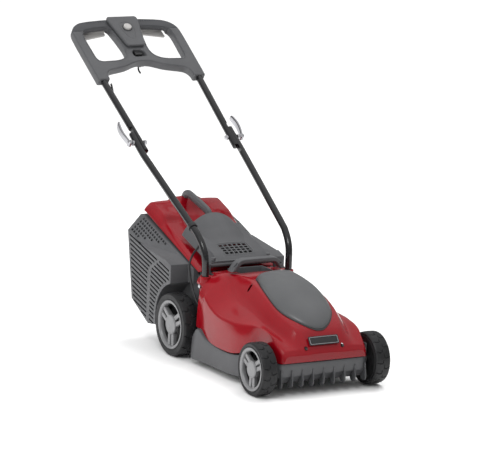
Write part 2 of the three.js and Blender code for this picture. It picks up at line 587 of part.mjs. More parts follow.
SIDES.forEach(([name, side]) => {
  piece(`lower_tube_${name}`, FINISH.black(), makeLowerTube(side));
  piece(`socket_bolt_${name}`, FINISH.steel(), bar(V(side * 114, SOCKET.y, 214), V(side * 152, SOCKET.y, 214), 3, 12)
    .add(bar(V(side * 150.2, SOCKET.y, 214), V(side * 153.6, SOCKET.y, 214), 6, 12)));
});

// ---------------------------------------------------------------- folding upper handle
const upper = new THREE.Group();
upper.position.set(0, CLAMP.y, CLAMP.z);
upper.rotation.x = tilt;
mower.add(upper);

// Here x is across, y runs up the handle from the clamp bolt, z is square to the handle.
const HALF_OUTLINE = [
  [0, 340], [25, 337], [45, 328], [62, 320], [85, 314], [110, 309], [126, 304], [136, 294], [140, 282], [140, HANDLE.legEndU],
  [178, HANDLE.legEndU], [180, 440], [179, 478], [172, 497], [158, 511], [140, 520], [110, 525], [60, 529], [0, 531],
];
const HALF_WINDOW = [
  [54, 497], [44, 440], [40, 400], [41, 380], [48, 364], [62, 353], [84, 347], [132, 345], [143, 350], [147, 362],
  [149, 440], [148, 466], [143, 480], [132, 487], [100, 493],
];
function makeHandleMass() {
  const outline = [...HALF_OUTLINE, ...HALF_OUTLINE.filter(([x]) => x > 0).reverse().map(([x, u]) => [-x, u])];
  const mass = prism(outline, 'xy', HANDLE.low, HANDLE.high);
  const windows = SIDES.map(([, side]) => prism(HALF_WINDOW.map(([x, u]) => [side * x, u]), 'xy', -40, 40));
  const hook = prism([[-19, 360], [19, 360], [21, 376], [14, 389], [-14, 389], [-21, 376]], 'xy', -40, 40);
  const tubeWays = SIDES.map(([, side]) => bar(
    V(side * 157, 200, 0), V(side * 160.2, HANDLE.tubeTopU + 2, 0), TUBE_RADIUS + GAP, 20));
  return without(mass, [...windows, hook, ...tubeWays]);
}
const handleMass = makeHandleMass();
piece('handle_frame', FINISH.grey(), handleMass.subtract(block(-300, 300, HANDLE.seamU - GAP / 2, 700, -40, 40)), upper);
const triggerRoom = SIDES.map(([, side]) => block(
  Math.min(side * 55.5, side * 142), Math.max(side * 55.5, side * 142), 478, 508, -40, -4));
piece('handle_grip', FINISH.rubber(),
  without(handleMass.subtract(block(-300, 300, -100, HANDLE.seamU + GAP / 2, -40, 40)), triggerRoom), upper);

function makeSwitchHousing() {
  const outline = [[-27, 398], [27, 398], [31, 404], [52, 522], [48, 531], [-48, 531], [-52, 522], [-31, 404]];
  const lid = prism(outline, 'xy', HANDLE.high + GAP, 22);
  return lid.subtract(bar(V(0, 478, HANDLE.high + 4), V(0, 478, 40), 13, 24));
}
piece('switch_housing', FINISH.grey(), makeSwitchHousing(), upper);
piece('lock_button', FINISH.lightGrey(), bar(V(0, 478, HANDLE.high + 8.4), V(0, 478, 27), 12.5, 24)
  .add(bar(V(0, 478, 27), V(0, 478, 29), 12.5, 24, 10)), upper);

SIDES.forEach(([name, side]) => {
  const paddle = prism([[58, 505], [136, 500], [138, 473], [132, 471], [58, 488]].map(([x, u]) => [side * x, u]), 'xy', -20, -14.5);
  const root = bar(V(side * 58, 502, -12), V(side * 136, 502, -12), 5, 14);
  const neck = prism([[60, 500], [134, 500], [134, 497], [60, 497]].map(([x, u]) => [side * x, u]), 'xy', -19, -10);
  piece(`trigger_${name}`, FINISH.lightGrey(), joined([paddle, root, neck]), upper);

  // Tube, flattened on its outer side where it meets the lower one
  const tube = bar(V(side * CLAMP.upperX, -38, 0), V(side * 159.9, HANDLE.tubeTopU, 0), TUBE_RADIUS, 20);
  const outer = side * (CLAMP.faceX - 0.2);
  const flat = block(Math.min(outer, side * 200), Math.max(outer, side * 200), -60, 60, -30, 30);
  const hole = bar(V(side * 100, 0, 0), V(side * 200, 0, 0), 3.4, 12);
  piece(`upper_tube_${name}`, FINISH.black(), without(tube, [flat, hole]), upper);
});

function makeInlet() {
  const shell = block(-12, 12, 371, 388, -12, 8);
  const well = block(-9, 9, 360, 383, -9, 5);
  const pins = [-4.5, 4.5].map((x) => bar(V(x, 373, -2), V(x, 384, -2), 2, 10));
  return joined([shell.subtract(well), ...pins]);
}
piece('power_inlet', FINISH.black(), makeInlet(), upper);

const hookPath = [V(0, 344, HANDLE.low - 2.6), V(0, 352, HANDLE.low - 8), V(0, 352, HANDLE.low - 14), V(0, 344, HANDLE.low - 19), V(0, 332, HANDLE.low - 18)];
const hookPlate = block(-11, 11, 343, 357, HANDLE.low - 3, HANDLE.low - GAP);
piece('cable_hook', FINISH.black(), hookPlate.add(tubeAlong(hookPath, 2.6, 14, 10)), upper);

// ---------------------------------------------------------------- clamps
SIDES.forEach(([name, side]) => {
  const clampPoint = (x) => V(side * x, CLAMP.y, CLAMP.z);
  piece(`clamp_bolt_${name}`, FINISH.steel(), joined([
    bar(clampPoint(131.6), clampPoint(176), 3, 12), bar(clampPoint(130.6), clampPoint(138.4), 7.5, 6),
    bar(clampPoint(170.6), clampPoint(175.8), 8, 16),
  ]));

  const lever = new THREE.Group();
  lever.position.copy(clampPoint(184));
  lever.rotation.x = tilt;
  mower.add(lever);
  const cam = bar(V(0, 0, -9), V(0, 0, 9), 7.6, 20);
  const blade = prism([[-4, 0], [4, 2], [8, 22], [10, 48], [8, 72], [4, 88], [0, 87], [3, 70], [4, 48], [1, 24]]
    .map(([x, u]) => [side * x, u]), 'xy', -8, 8);
  piece(`clamp_lever_${name}`, FINISH.steel(), cam.add(blade), lever);
});

// ---------------------------------------------------------------- cable
// From the handle down to the clamp, on the left tube's inner side
const upperCable = [[-134, 262, -6], [-138, 240, -9], [-136, 180, -12], [-132, 110, -12], [-128, 50, -8], [-127, 20, -3], [-127, -6, 0]]
  .map(([x, u, w]) => V(x, u, w));
piece('upper_cable', FINISH.black(), tubeAlong(upperCable, CABLE_RADIUS, 18, 8), upper);

// From the clamp down the lower tube, through its clip, and in a loop into the deck
const lowerCable = [
  alongHandle(-120.4, 6), alongHandle(-120.4, -20), alongHandle(-118, -50, 2), alongHandle(-122, -90, 0), alongHandle(-126, -150, -6),
  V(-127.5, 130, 434), V(-127, 60, 394), V(-127, 10, 366), V(-127, -22, 344), V(-132, -36, 322), V(-150, -33, 296), V(-158, -29, 268),
  V(-158, -34, 240), V(-157, -48, 205), V(-157, -64, 182), V(-155, -80, 164), V(-152, -96, 156),
];
piece('lower_cable', FINISH.black(), tubeAlong(lowerCable, CABLE_RADIUS, 42, 8));

function makeClip() {
  const middle = V(-141.8, -8, 370.5);
  const along = V(0, 264, 157).normalize();
  const ring = bar(middle.clone().addScaledVector(along, -7), middle.clone().addScaledVector(along, 7), 13, 20);
  const cableMiddle = V(-127.1, -8, 353.8);
  const eye = bar(cableMiddle.clone().addScaledVector(along, -6), cableMiddle.clone().addScaledVector(along, 6), 8.2, 16);
  return ring.add(eye).subtract(tubeAlong(lowerTubePoints(-1), TUBE_RADIUS + GAP, TUBE_STEPS, 12, 0.25));
}
const cableWay = tubeAlong(lowerCable, CABLE_RADIUS + 0.5, 42, 8);
piece('cable_clip', FINISH.black(), makeClip().subtract(cableWay));

mower.position.set(0, -FOOTPRINT_MIDDLE_Y, 0);
mower.updateMatrixWorld(true);

export default mower;
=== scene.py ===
"""Electric rotary lawn mower: its looks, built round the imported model.

Shapes are written in millimetres from the rear axle (y = 0) and the ground (z = 0), with the
front towards -y, and `place` turns them into metres in the frame.
"""
import math

import bmesh
import bpy
import numpy as np
from mathutils import Matrix, Vector


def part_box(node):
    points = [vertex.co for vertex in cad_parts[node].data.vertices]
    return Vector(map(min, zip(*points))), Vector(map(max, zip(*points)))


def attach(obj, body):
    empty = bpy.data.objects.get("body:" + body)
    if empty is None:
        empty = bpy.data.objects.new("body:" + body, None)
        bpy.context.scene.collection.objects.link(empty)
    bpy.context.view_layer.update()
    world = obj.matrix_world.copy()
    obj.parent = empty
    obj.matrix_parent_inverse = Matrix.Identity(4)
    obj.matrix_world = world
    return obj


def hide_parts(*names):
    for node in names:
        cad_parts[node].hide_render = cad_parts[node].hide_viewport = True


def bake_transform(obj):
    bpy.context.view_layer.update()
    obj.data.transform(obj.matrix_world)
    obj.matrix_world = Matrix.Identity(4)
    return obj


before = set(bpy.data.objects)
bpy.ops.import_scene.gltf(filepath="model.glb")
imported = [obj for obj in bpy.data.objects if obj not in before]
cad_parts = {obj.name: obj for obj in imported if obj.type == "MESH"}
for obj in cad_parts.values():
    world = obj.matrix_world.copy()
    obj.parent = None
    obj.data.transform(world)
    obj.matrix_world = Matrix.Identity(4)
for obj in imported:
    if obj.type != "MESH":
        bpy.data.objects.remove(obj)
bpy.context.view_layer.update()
scene = bpy.context.scene

# ------------------------------------------------------------------ driving dimensions
MM = 0.001
REAR_AXLE = (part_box("rear_axle")[0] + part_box("rear_axle")[1]) / 2
CLAMP = (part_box("clamp_bolt_left")[0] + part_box("clamp_bolt_left")[1]) / 2
HANDLE_TILT = math.radians(32.4)
TUBE_RADIUS = 10
CABLE_RADIUS = 3
PANEL = 2.6   # wall of the hood, the flap and the box's lid
FLAT_WITHIN = 1.5   # degrees between faces that count as one
SIDES = (("left", -1), ("right", 1))

WHEELS = {
    "front": {"radius": 73.0, "rim": 57.5, "width": 47.0, "outer_x": 201.0, "y": -466.0},
    "rear": {"radius": 90.0, "rim": 67.5, "width": 49.0, "outer_x": 199.6, "y": 0.0},
}


def place(points):
    """Millimetres from the rear axle and the ground, to metres in the frame."""
    placed = np.asarray(points, float) * MM
    placed[..., 1] += REAR_AXLE.y
    return placed


def on_handle(points):
    """Millimetres across, up the handle and square to it, from the clamp bolts, to metres."""
    x, u, w = np.moveaxis(np.asarray(points, float) * MM, -1, 0)
    y = CLAMP.y + u * math.cos(HANDLE_TILT) - w * math.sin(HANDLE_TILT)
    z = CLAMP.z + u * math.sin(HANDLE_TILT) + w * math.cos(HANDLE_TILT)
    return np.stack([x, y, z], -1)


# ------------------------------------------------------------------ materials
def node_maker(material):
    tree = material.node_tree
    tree.nodes.clear()

    def make(kind, **values):
        node = tree.nodes.new(kind)
        for key, value in values.items():
            if key in node.inputs:
                node.inputs[key].default_value = value
            else:
                setattr(node, key, value)
        return node

    return tree, make


def moulded(name, color, roughness, grain=900.0, depth=0.05, vary=0.12, swing=0.06, metallic=0.0,
            coat=0.0, coat_roughness=0.08, specular=0.5, stretch=None):
    """A surface with colour drift, uneven gloss and a fine grain; depth is in millimetres."""
    material = bpy.data.materials.new(name)
    material.use_nodes = True
    tree, make = node_maker(material)
    link = tree.links.new
    position = make("ShaderNodeTexCoord").outputs["Object"]
    if stretch:
        scaled = make("ShaderNodeMapping")
        scaled.inputs["Scale"].default_value = stretch
        link(position, scaled.inputs["Vector"])
        position = scaled.outputs["Vector"]

    drift = make("ShaderNodeTexNoise", Scale=14.0, Detail=4.0, Roughness=0.6)
    link(position, drift.inputs["Vector"])
    ramp = make("ShaderNodeValToRGB")
    low = [channel * (1 - vary) for channel in color]
    high = [min(1.0, channel * (1 + vary)) for channel in color]
    ramp.color_ramp.elements[0].position = 0.3
    ramp.color_ramp.elements[0].color = (*low, 1)
    ramp.color_ramp.elements[1].position = 0.7
    ramp.color_ramp.elements[1].color = (*high, 1)
    link(drift.outputs["Fac"], ramp.inputs["Fac"])

    smear = make("ShaderNodeTexNoise", Scale=45.0, Detail=3.0)
    link(position, smear.inputs["Vector"])
    gloss = make("ShaderNodeMapRange")
    gloss.inputs["To Min"].default_value = max(0.03, roughness - swing)
    gloss.inputs["To Max"].default_value = min(1.0, roughness + swing)
    link(smear.outputs["Fac"], gloss.inputs["Value"])

    fine = make("ShaderNodeTexNoise", Scale=grain, Detail=2.0)
    link(position, fine.inputs["Vector"])
    bump = make("ShaderNodeBump", Strength=0.6)
    bump.inputs["Distance"].default_value = depth * MM
    link(fine.outputs["Fac"], bump.inputs["Height"])

    shader = make("ShaderNodeBsdfPrincipled", Metallic=metallic)
    shader.inputs["Coat Weight"].default_value = coat
    shader.inputs["Coat Roughness"].default_value = coat_roughness
    shader.inputs["Specular IOR Level"].default_value = specular
    link(ramp.outputs["Color"], shader.inputs["Base Color"])
    link(gloss.outputs["Result"], shader.inputs["Roughness"])
    link(bump.outputs["Normal"], shader.inputs["Normal"])
    output = make("ShaderNodeOutputMaterial")
    link(shader.outputs["BSDF"], output.inputs["Surface"])
    return material


FINISH = {
    "red_gloss": moulded("red_gloss", (0.205, 0.0015, 0.006), 0.15, grain=350, depth=0.012, vary=0.06,
                         swing=0.03, coat=0.12, specular=0.3),
    "grey_plastic": moulded("grey_plastic", (0.066, 0.067, 0.071), 0.46, depth=0.09, vary=0.1),
    "cover_grey": moulded("cover_grey", (0.07, 0.072, 0.075), 0.33, grain=1500, depth=0.05, vary=0.06),
    "black_plastic": moulded("black_plastic", (0.014, 0.014, 0.015), 0.35, depth=0.05),
    "black_tube": moulded("black_tube", (0.005, 0.005, 0.006), 0.22, grain=500, depth=0.02, coat=0.15,
                          swing=0.05),
    "steel": moulded("steel", (0.55, 0.55, 0.57), 0.3, grain=600, depth=0.02, metallic=1.0, swing=0.1,
                     stretch=(8, 1, 1)),
    "chrome": moulded("chrome", (0.42, 0.42, 0.44), 0.16, grain=300, depth=0.015, metallic=1.0, vary=0.04,
                      swing=0.05),
    "blade_steel": moulded("blade_steel", (0.05, 0.05, 0.054), 0.38, grain=400, depth=0.06,
                           metallic=0.6, swing=0.12),
    "tyre": moulded("tyre", (0.010, 0.010, 0.011), 0.5, grain=1100, depth=0.12, vary=0.3, swing=0.1,
                    specular=0.35),
    "rim_grey": moulded("rim_grey", (0.20, 0.20, 0.205), 0.3, depth=0.04, vary=0.05, metallic=0.25),
    "grip_rubber": moulded("grip_rubber", (0.046, 0.047, 0.051), 0.6, grain=1300, depth=0.12),
    "light_grey": moulded("light_grey", (0.38, 0.37, 0.36), 0.42, depth=0.05, vary=0.06),
    "cable_black": moulded("cable_black", (0.01, 0.01, 0.011), 0.38, grain=700, depth=0.04),
}


# ------------------------------------------------------------------ mesh helpers
def linked(name, data):
    made = bpy.data.objects.new(name, data)
    scene.collection.objects.link(made)
    return made


def cleaned(mesh, merge, flatten=False):
    """Merges points closer than `merge` metres, then makes flat faces whole or turns all faces outwards."""
    work = bmesh.new()
    work.from_mesh(mesh)
    bmesh.ops.remove_doubles(work, verts=work.verts, dist=merge)
    if flatten:
        limit = math.radians(FLAT_WITHIN)
        bmesh.ops.dissolve_limit(work, angle_limit=limit, verts=work.verts, edges=work.edges)
    else:
        bmesh.ops.recalc_face_normals(work, faces=work.faces)
    work.to_mesh(mesh)
    work.free()


def mesh_piece(name, vertices, faces):
    """A mesh object from points in metres, with its faces turned outwards."""
    mesh = bpy.data.meshes.new(name)
    mesh.from_pydata([tuple(map(float, v)) for v in vertices], [], [tuple(map(int, f)) for f in faces])
    cleaned(mesh, 1e-6)
    return linked(name, mesh)


def baked(piece):
    """The same object with its modifiers applied, as a mesh."""
    bpy.context.view_layer.update()
    depsgraph = bpy.context.evaluated_depsgraph_get()
    mesh = bpy.data.meshes.new_from_object(piece.evaluated_get(depsgraph))
    if piece.type == "MESH":
        piece.modifiers.clear()
        piece.data = mesh
        return piece
    name = piece.name
    matrix = piece.matrix_world.copy()
    bpy.data.objects.remove(piece)
    made = linked(name, mesh)
    mesh.transform(matrix)
    return made


def joined(name, pieces):
    """One mesh object from several, which are removed."""
    work = bmesh.new()
    for piece in pieces:
        work.from_mesh(piece.data)
        bpy.data.objects.remove(piece)
    mesh = bpy.data.meshes.new(name)
    work.to_mesh(mesh)
    work.free()
    return linked(name, mesh)


def combined(piece, others, operation="DIFFERENCE"):
    """The piece with the others cut from it, or joined to it, one after another."""
    for other in others:
        modifier = piece.modifiers.new("boolean", "BOOLEAN")
        modifier.operation = operation
        modifier.solver = "EXACT"
        modifier.object = other
    baked(piece)
    for other in others:
        bpy.data.objects.remove(other)
    return piece


def modified(piece, kind, **settings):
    modifier = piece.modifiers.new(kind.lower(), kind)
    for key, value in settings.items():
        setattr(modifier, key, value)
    return baked(piece)


def bevelled(piece, width, segments=3, angle=32):
    """Rounds the edges that turn by more than the angle; width is in millimetres."""
    return modified(piece, "BEVEL", width=width * MM, segments=segments, limit_method="ANGLE",
                    angle_limit=math.radians(angle), use_clamp_overlap=True, harden_normals=False)


def subdivided(piece, levels=3):
    return modified(piece, "SUBSURF", levels=levels, render_levels=levels, boundary_smooth="ALL")


def thickened(piece, thickness):
    """Gives an open sheet a thickness, in millimetres, on the inside of its faces."""
    return modified(piece, "SOLIDIFY", thickness=thickness * MM, offset=-1, use_even_offset=False)


def finished(piece, body, slot, *stands_for, angle=38):
    """Shades the piece, gives it its material and, if a body is named, sets it on that body."""
    piece.data.shade_smooth()
    piece.data.set_sharp_from_angle(angle=math.radians(angle))
    piece.data.materials.clear()
    piece.data.materials.append(FINISH[slot])
    if body:
        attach(piece, body)
    if stands_for:
        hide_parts(*stands_for)
    return piece


def grid_faces(rows, columns, close_columns=False, close_rows=False):
    faces = []
    for r in range(rows if close_rows else rows - 1):
        for c in range(columns if close_columns else columns - 1):
            r2, c2 = (r + 1) % rows, (c + 1) % columns
            faces.append((r * columns + c, r * columns + c2, r2 * columns + c2, r2 * columns + c))
    return faces


def eased(table, positions):
    """Smooth interpolation of [position, value, value, ...] rows, with no overshoot."""
    rows = np.array(sorted(table), float)
    x, values = rows[:, 0], rows[:, 1:]
    steps = np.diff(x)[:, None]
    slopes = np.diff(values, axis=0) / steps
    tangents = np.zeros_like(values)
    tangents[1:-1] = np.where(slopes[1:] * slopes[:-1] > 0,
                              2 * slopes[1:] * slopes[:-1] / (slopes[1:] + slopes[:-1] + 1e-12), 0)
    tangents[0], tangents[-1] = slopes[0], slopes[-1]
    where = np.clip(np.asarray(positions, float), x[0], x[-1])
    k = np.clip(np.searchsorted(x, where) - 1, 0, len(x) - 2)
    h = steps[k]
    t = ((where - x[k]) / np.diff(x)[k])[:, None]
    return ((2 * t**3 - 3 * t**2 + 1) * values[k] + (t**3 - 2 * t**2 + t) * h * tangents[k]
            + (3 * t**2 - 2 * t**3) * values[k + 1] + (t**3 - t**2) * h * tangents[k + 1])


def curve_through(points, steps, tension=0.5, closed=False):
    """Points evenly spread on a Catmull-Rom curve through the given points."""
    given = np.asarray(points, float)
    if closed:
        padded = np.vstack([given[-1], given, given[0], given[1]])
    else:
        padded = np.vstack([2 * given[0] - given[1], given, 2 * given[-1] - given[-2]])
    pieces = []
    t = np.linspace(0, 1, 16, endpoint=False)[:, None]
    for i in range(1, len(padded) - 2):
        a, b, c, d = padded[i - 1:i + 3]
        m0, m1 = tension * (c - a), tension * (d - b)
        pieces.append((2 * t**3 - 3 * t**2 + 1) * b + (t**3 - 2 * t**2 + t) * m0
                      + (3 * t**2 - 2 * t**3) * c + (t**3 - t**2) * m1)
    dense = np.vstack(pieces + [padded[-2][None]])
    lengths = np.concatenate([[0], np.cumsum(np.linalg.norm(np.diff(dense, axis=0), axis=1))])
    even = np.linspace(0, lengths[-1], steps, endpoint=not closed)
    return np.stack([np.interp(even, lengths, dense[:, k]) for k in range(dense.shape[1])], -1)


def swept(name, path, section, up=(1, 0, 0), scale=None):
    """A closed body along a path in metres; section is (across, up) points in millimetres."""
    path = np.asarray(path, float)
    section = np.asarray(section, float) * MM
    along = np.gradient(path, axis=0)
    along /= np.linalg.norm(along, axis=1)[:, None]
    side = np.cross(along, np.asarray(up, float))
    side /= np.linalg.norm(side, axis=1)[:, None]
    top = np.cross(side, along)
    scale = np.ones(len(path)) if scale is None else np.asarray(scale, float)
    rings = (path[:, None] + (side[:, None] * section[None, :, :1] + top[:, None] * section[None, :, 1:])
             * scale[:, None, None])
    count = len(section)
    faces = grid_faces(len(path), count, close_columns=True)
    faces += [tuple(range(count)), tuple(range((len(path) - 1) * count, len(path) * count))]
    return mesh_piece(name, rings.reshape(-1, 3), faces)


def ring_section(radius, sides=24, radius_up=None, power=2.0):
    """A round, oval or rounded-square section."""
    a = np.linspace(0, 2 * math.pi, sides, endpoint=False)
    c, s = np.cos(a), np.sin(a)
    up = radius if radius_up is None else radius_up
    return np.stack([radius * np.sign(c) * np.abs(c)**(2 / power),
                     up * np.sign(s) * np.abs(s)**(2 / power)], -1)


def rod(name, start, end, radius, sides=32, radius_end=None):
    """A round bar between two points in metres."""
    path = np.array([start, end], float)
    up = (1, 0, 0) if abs(path[1][0] - path[0][0]) < 0.5 * np.linalg.norm(path[1] - path[0]) else (0, 0, 1)
    scale = None if radius_end is None else [1, radius_end / radius]
    return swept(name, path, ring_section(radius, sides), up, scale)


def block(name, x1, x2, y1, y2, z1, z2, where=place):
    corners = [(x, y, z) for x in (x1, x2) for y in (y1, y2) for z in (z1, z2)]
    faces = [(0, 1, 3, 2), (4, 6, 7, 5), (0, 4, 5, 1), (2, 3, 7, 6), (0, 2, 6, 4), (1, 5, 7, 3)]
    return mesh_piece(name, where(corners), faces)


def slab(name, outline, low, high, where, holes=(), round_by=0.0, segments=3):
    """An outline with holes, filled and given a thickness with rounded edges; where takes (a, b, height)."""
    curve = bpy.data.curves.new(name, "CURVE")
    curve.dimensions = "2D"
    curve.fill_mode = "BOTH"
    for loop in (outline, *holes):
        spline = curve.splines.new("POLY")
        spline.points.add(len(loop) - 1)
        for point, (a, b) in zip(spline.points, loop):
            point.co = (a * MM, b * MM, 0, 1)
        spline.use_cyclic_u = True
    curve.extrude = ((high - low) / 2 - round_by) * MM
    curve.bevel_depth = round_by * MM
    curve.bevel_resolution = segments
    curve.offset = -round_by * MM
    made = baked(linked(name, curve))
    co = np.array([v.co for v in made.data.vertices]) / MM
    co[:, 2] += (low + high) / 2
    made.data.vertices.foreach_set("co", where(co).astype(np.float32).ravel())
    cleaned(made.data, 2e-6)
    return made


def side_view(points):
    """Places (y, z, x) points: outlines drawn from the side."""
    points = np.asarray(points, float)
    return place(points[..., [2, 0, 1]])


def front_view(points):
    """Places (x, z, y) points: outlines drawn from the front."""
    points = np.asarray(points, float)
    return place(points[..., [0, 2, 1]])


def both(half):
    """An outline from its right half, which starts and ends on the middle line."""
    return [tuple(p) for p in half] + [(-x, b) for x, b in reversed(half) if abs(x) > 1e-6]


def smooth_outline(points, steps=96, tension=0.5):
    return [tuple(p) for p in curve_through(points, steps, tension, closed=True)]


def scaled(outline, factor, middle=0.0, factor_up=None):
    """The outline drawn smaller about (0, middle)."""
    up = factor if factor_up is None else factor_up
    return [(a * factor, middle + (b - middle) * up) for a, b in outline]


def grown(outline, reach):
    """The outline pushed out from its middle by a distance."""
    middle = np.mean(outline, axis=0)
    made = []
    for point in outline:
        out = np.array(point) - middle
        made.append(tuple(middle + out * (1 + reach / np.linalg.norm(out))))
    return made


def both_rods(name, start, end, radius):
    """A rod on each side of the mower, from the two ends of the right one."""
    return [rod(name, *place([(side * x, y, z) for x, y, z in (start, end)]), radius) for _, side in SIDES]


def mirrored_sheet(name, stations, halves):
    """A sheet through cross-sections of (x, z) points, each given from its middle to its right edge."""
    points = []
    for y, half in zip(stations, halves):
        points += [(-x, y, z) for x, z in reversed(half[1:])] + [(x, y, z) for x, z in half]
    return mesh_piece(name, place(points), grid_faces(len(halves), 2 * len(halves[0]) - 1))


def crease_edges(piece, pairs, amount):
    """Sharpens the edges between the given pairs of vertex numbers before subdivision."""
    mesh = piece.data
    if "crease_edge" not in mesh.attributes:
        mesh.attributes.new("crease_edge", "FLOAT", "EDGE")
    crease = mesh.attributes["crease_edge"].data
    known = {tuple(sorted(e.vertices)): e.index for e in mesh.edges}
    for pair in pairs:
        index = known.get(tuple(sorted(pair)))
        if index is not None:
            crease[index].value = amount


def crease_along(sheet, count, offset, first, last, amount):
    """Creases the lines `offset` points from a mirrored sheet's middle; count is the points in a half."""
    columns = 2 * count - 1
    for c in (count - 1 - offset, count - 1 + offset):
        crease_edges(sheet, [(r * columns + c, (r + 1) * columns + c) for r in range(first, last)], amount)


def crease_across(sheet, count, rows, amount):
    columns = 2 * count - 1
    for r in rows:
        crease_edges(sheet, [(r * columns + c, r * columns + c + 1) for c in range(columns - 1)], amount)


def cad_copy(node, name):
    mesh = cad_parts[node].data.copy()
    cleaned(mesh, 1e-5, flatten=True)
    return linked(name, mesh)


def softened(node, width, segments=2):
    """A copy of the CAD piece with its flat faces cleaned up and its edges rounded."""
    return bevelled(cad_copy(node, f"{node}_fine"), width, segments, 30)


# ------------------------------------------------------------------ camera, light and floor
CAMERA_PLACE = Vector((-4.1192, -7.2200, 2.0762))   # metres from the rear axle's middle, on the ground
HEADING, PITCH, ROLL = math.radians(30.0), math.radians(11.633), 0.0409
LENS = 216.0
SENSOR = 36.0


def make_camera():
    forward = Vector((math.sin(HEADING) * math.cos(PITCH), math.cos(HEADING) * math.cos(PITCH),
                      -math.sin(PITCH)))
    level = Vector((math.cos(HEADING), -math.sin(HEADING), 0))
    upright = level.cross(forward)
    right = math.cos(ROLL) * level + math.sin(ROLL) * upright
    up = -math.sin(ROLL) * level + math.cos(ROLL) * upright
    data = bpy.data.cameras.new("camera")
    data.lens = LENS
    data.sensor_width = SENSOR
    data.clip_end = 100
    camera = linked("camera", data)
    turn = Matrix((right, up, -forward)).transposed().to_4x4()
    spot = CAMERA_PLACE + Vector((0, REAR_AXLE.y, 0))
    camera.matrix_world = Matrix.Translation(spot) @ turn
    scene.camera = camera


def area_light(name, spot, target, size, watts, color=(1, 1, 1)):
    data = bpy.data.lights.new(name, "AREA")
    data.shape = "RECTANGLE"
    data.size, data.size_y = size
    data.energy = watts
    data.color = color
    lamp = linked(name, data)
    lamp.location = spot
    lamp.rotation_euler = (Vector(target) - Vector(spot)).to_track_quat("-Z", "Y").to_euler()
    return lamp


def make_studio():
    world = bpy.data.worlds.new("studio")
    world.use_nodes = True
    background = world.node_tree.nodes["Background"]
    background.inputs["Color"].default_value = (1, 1, 1, 1)
    tree = world.node_tree
    direction = tree.nodes.new("ShaderNodeSeparateXYZ")
    tree.links.new(tree.nodes.new("ShaderNodeTexCoord").outputs["Generated"], direction.inputs["Vector"])
    height = tree.nodes.new("ShaderNodeMapRange")
    height.inputs["To Min"].default_value = 0.22
    height.inputs["To Max"].default_value = 0.95
    tree.links.new(direction.outputs["Z"], height.inputs["Value"])
    tree.links.new(height.outputs["Result"], background.inputs["Strength"])
    scene.world = world
    scene.view_settings.view_transform = "Standard"
    key = bpy.data.lights.new("key", "SUN")
    key.angle = math.radians(42)
    key.energy = 2.3
    lamp = linked("key", key)
    lamp.visible_glossy = False
    lamp.rotation_euler = Vector((0.62, 0.3, 1.2)).to_track_quat("Z", "Y").to_euler()
    fill = area_light("left_fill", (-2.4, -0.6, 1.3), (0, 0, 0.2), (1.0, 1.6), 30)
    fill.visible_glossy = False
    softbox = area_light("rear_softbox", (-0.5, 2.2, 1.9), (0, 0, 0.3), (2.4, 0.8), 30)
    softbox.visible_glossy = False
    area_light("glint", (-1.3, -1.7, 2.3), (0, -0.1, 0.2), (0.55, 0.55), 16)
    size = 30.0
    corners = [(-size, -size, 0), (size, -size, 0), (size, size, 0), (-size, size, 0)]
    floor = mesh_piece("floor", corners, [(0, 1, 2, 3)])
    floor.data.materials.append(moulded("floor", (0.86, 0.86, 0.86), 0.7, grain=60, depth=0.02, vary=0.01,
                                        specular=0.2))


make_camera()
make_studio()

# ------------------------------------------------------------------ hood
# y, ridge height, ridge half width, upper crease x and z, lower crease x and z, hem x and z
HOOD = [
    (-62, 252, 88, 101, 248, 150, 240, 164, 106),
    (-104, 257, 88, 101, 250, 160, 212, 168, 104.6),
    (-140, 260, 82, 103, 238, 165, 194, 171, 102.6),
    (-180, 262, 76, 107, 217, 168, 175, 174, 83.6),
    (-240, 260, 80, 112, 199, 170, 162, 176.5, 77.6),
    (-320, 244, 92, 118, 190, 164, 163, 175, 80),
    (-378, 222, 98, 121, 179, 149, 170, 158, 96),
    (-400, 212, 97, 120, 171, 143, 170, 145, 96),
    (-440, 196, 88, 115, 159, 138, 167, 142, 94),
    (-480, 175, 74, 104, 143, 136, 150, 141, 93),
    (-513, 132, 62, 104, 127, 128, 122, 135, 93),
]
NOSE = (-521, 117, 60, 100, 115, 121, 112, 127, 94)
HOOD_STATIONS = (-62, -84, -104, -122, -140, -160, -180, -210, -240, -280, -320, -350, -378, -400, -420,
                 -440,
                 -460, -480, -498, -513)
RIDGE, UPPER, LOWER = 1, 4, 6   # places in a half section of the lines that stay crisp
NOSE_ROWS = (19, 20)


def hood_half(row):
    """Half a cross-section: middle, ridge, flank, scoop, crease, band, crease, side, hem."""
    top, ridge, x1, z1, x2, z2, hem_x, hem_z = row
    rim = top - 4
    return [
        (0, top), (ridge * 0.94, rim + 0.6), (ridge + 0.35 * (x1 - ridge), rim - 0.42 * (rim - z1)),
        (ridge + 0.62 * (x1 - ridge), rim - 0.74 * (rim - z1)), (x1, z1),
        ((x1 + x2) / 2, (z1 + z2) / 2 + 1.5), (x2, z2),
        (x2 + 0.75 * (hem_x - x2), z2 - 0.42 * (z2 - hem_z)), (hem_x, hem_z),
    ]


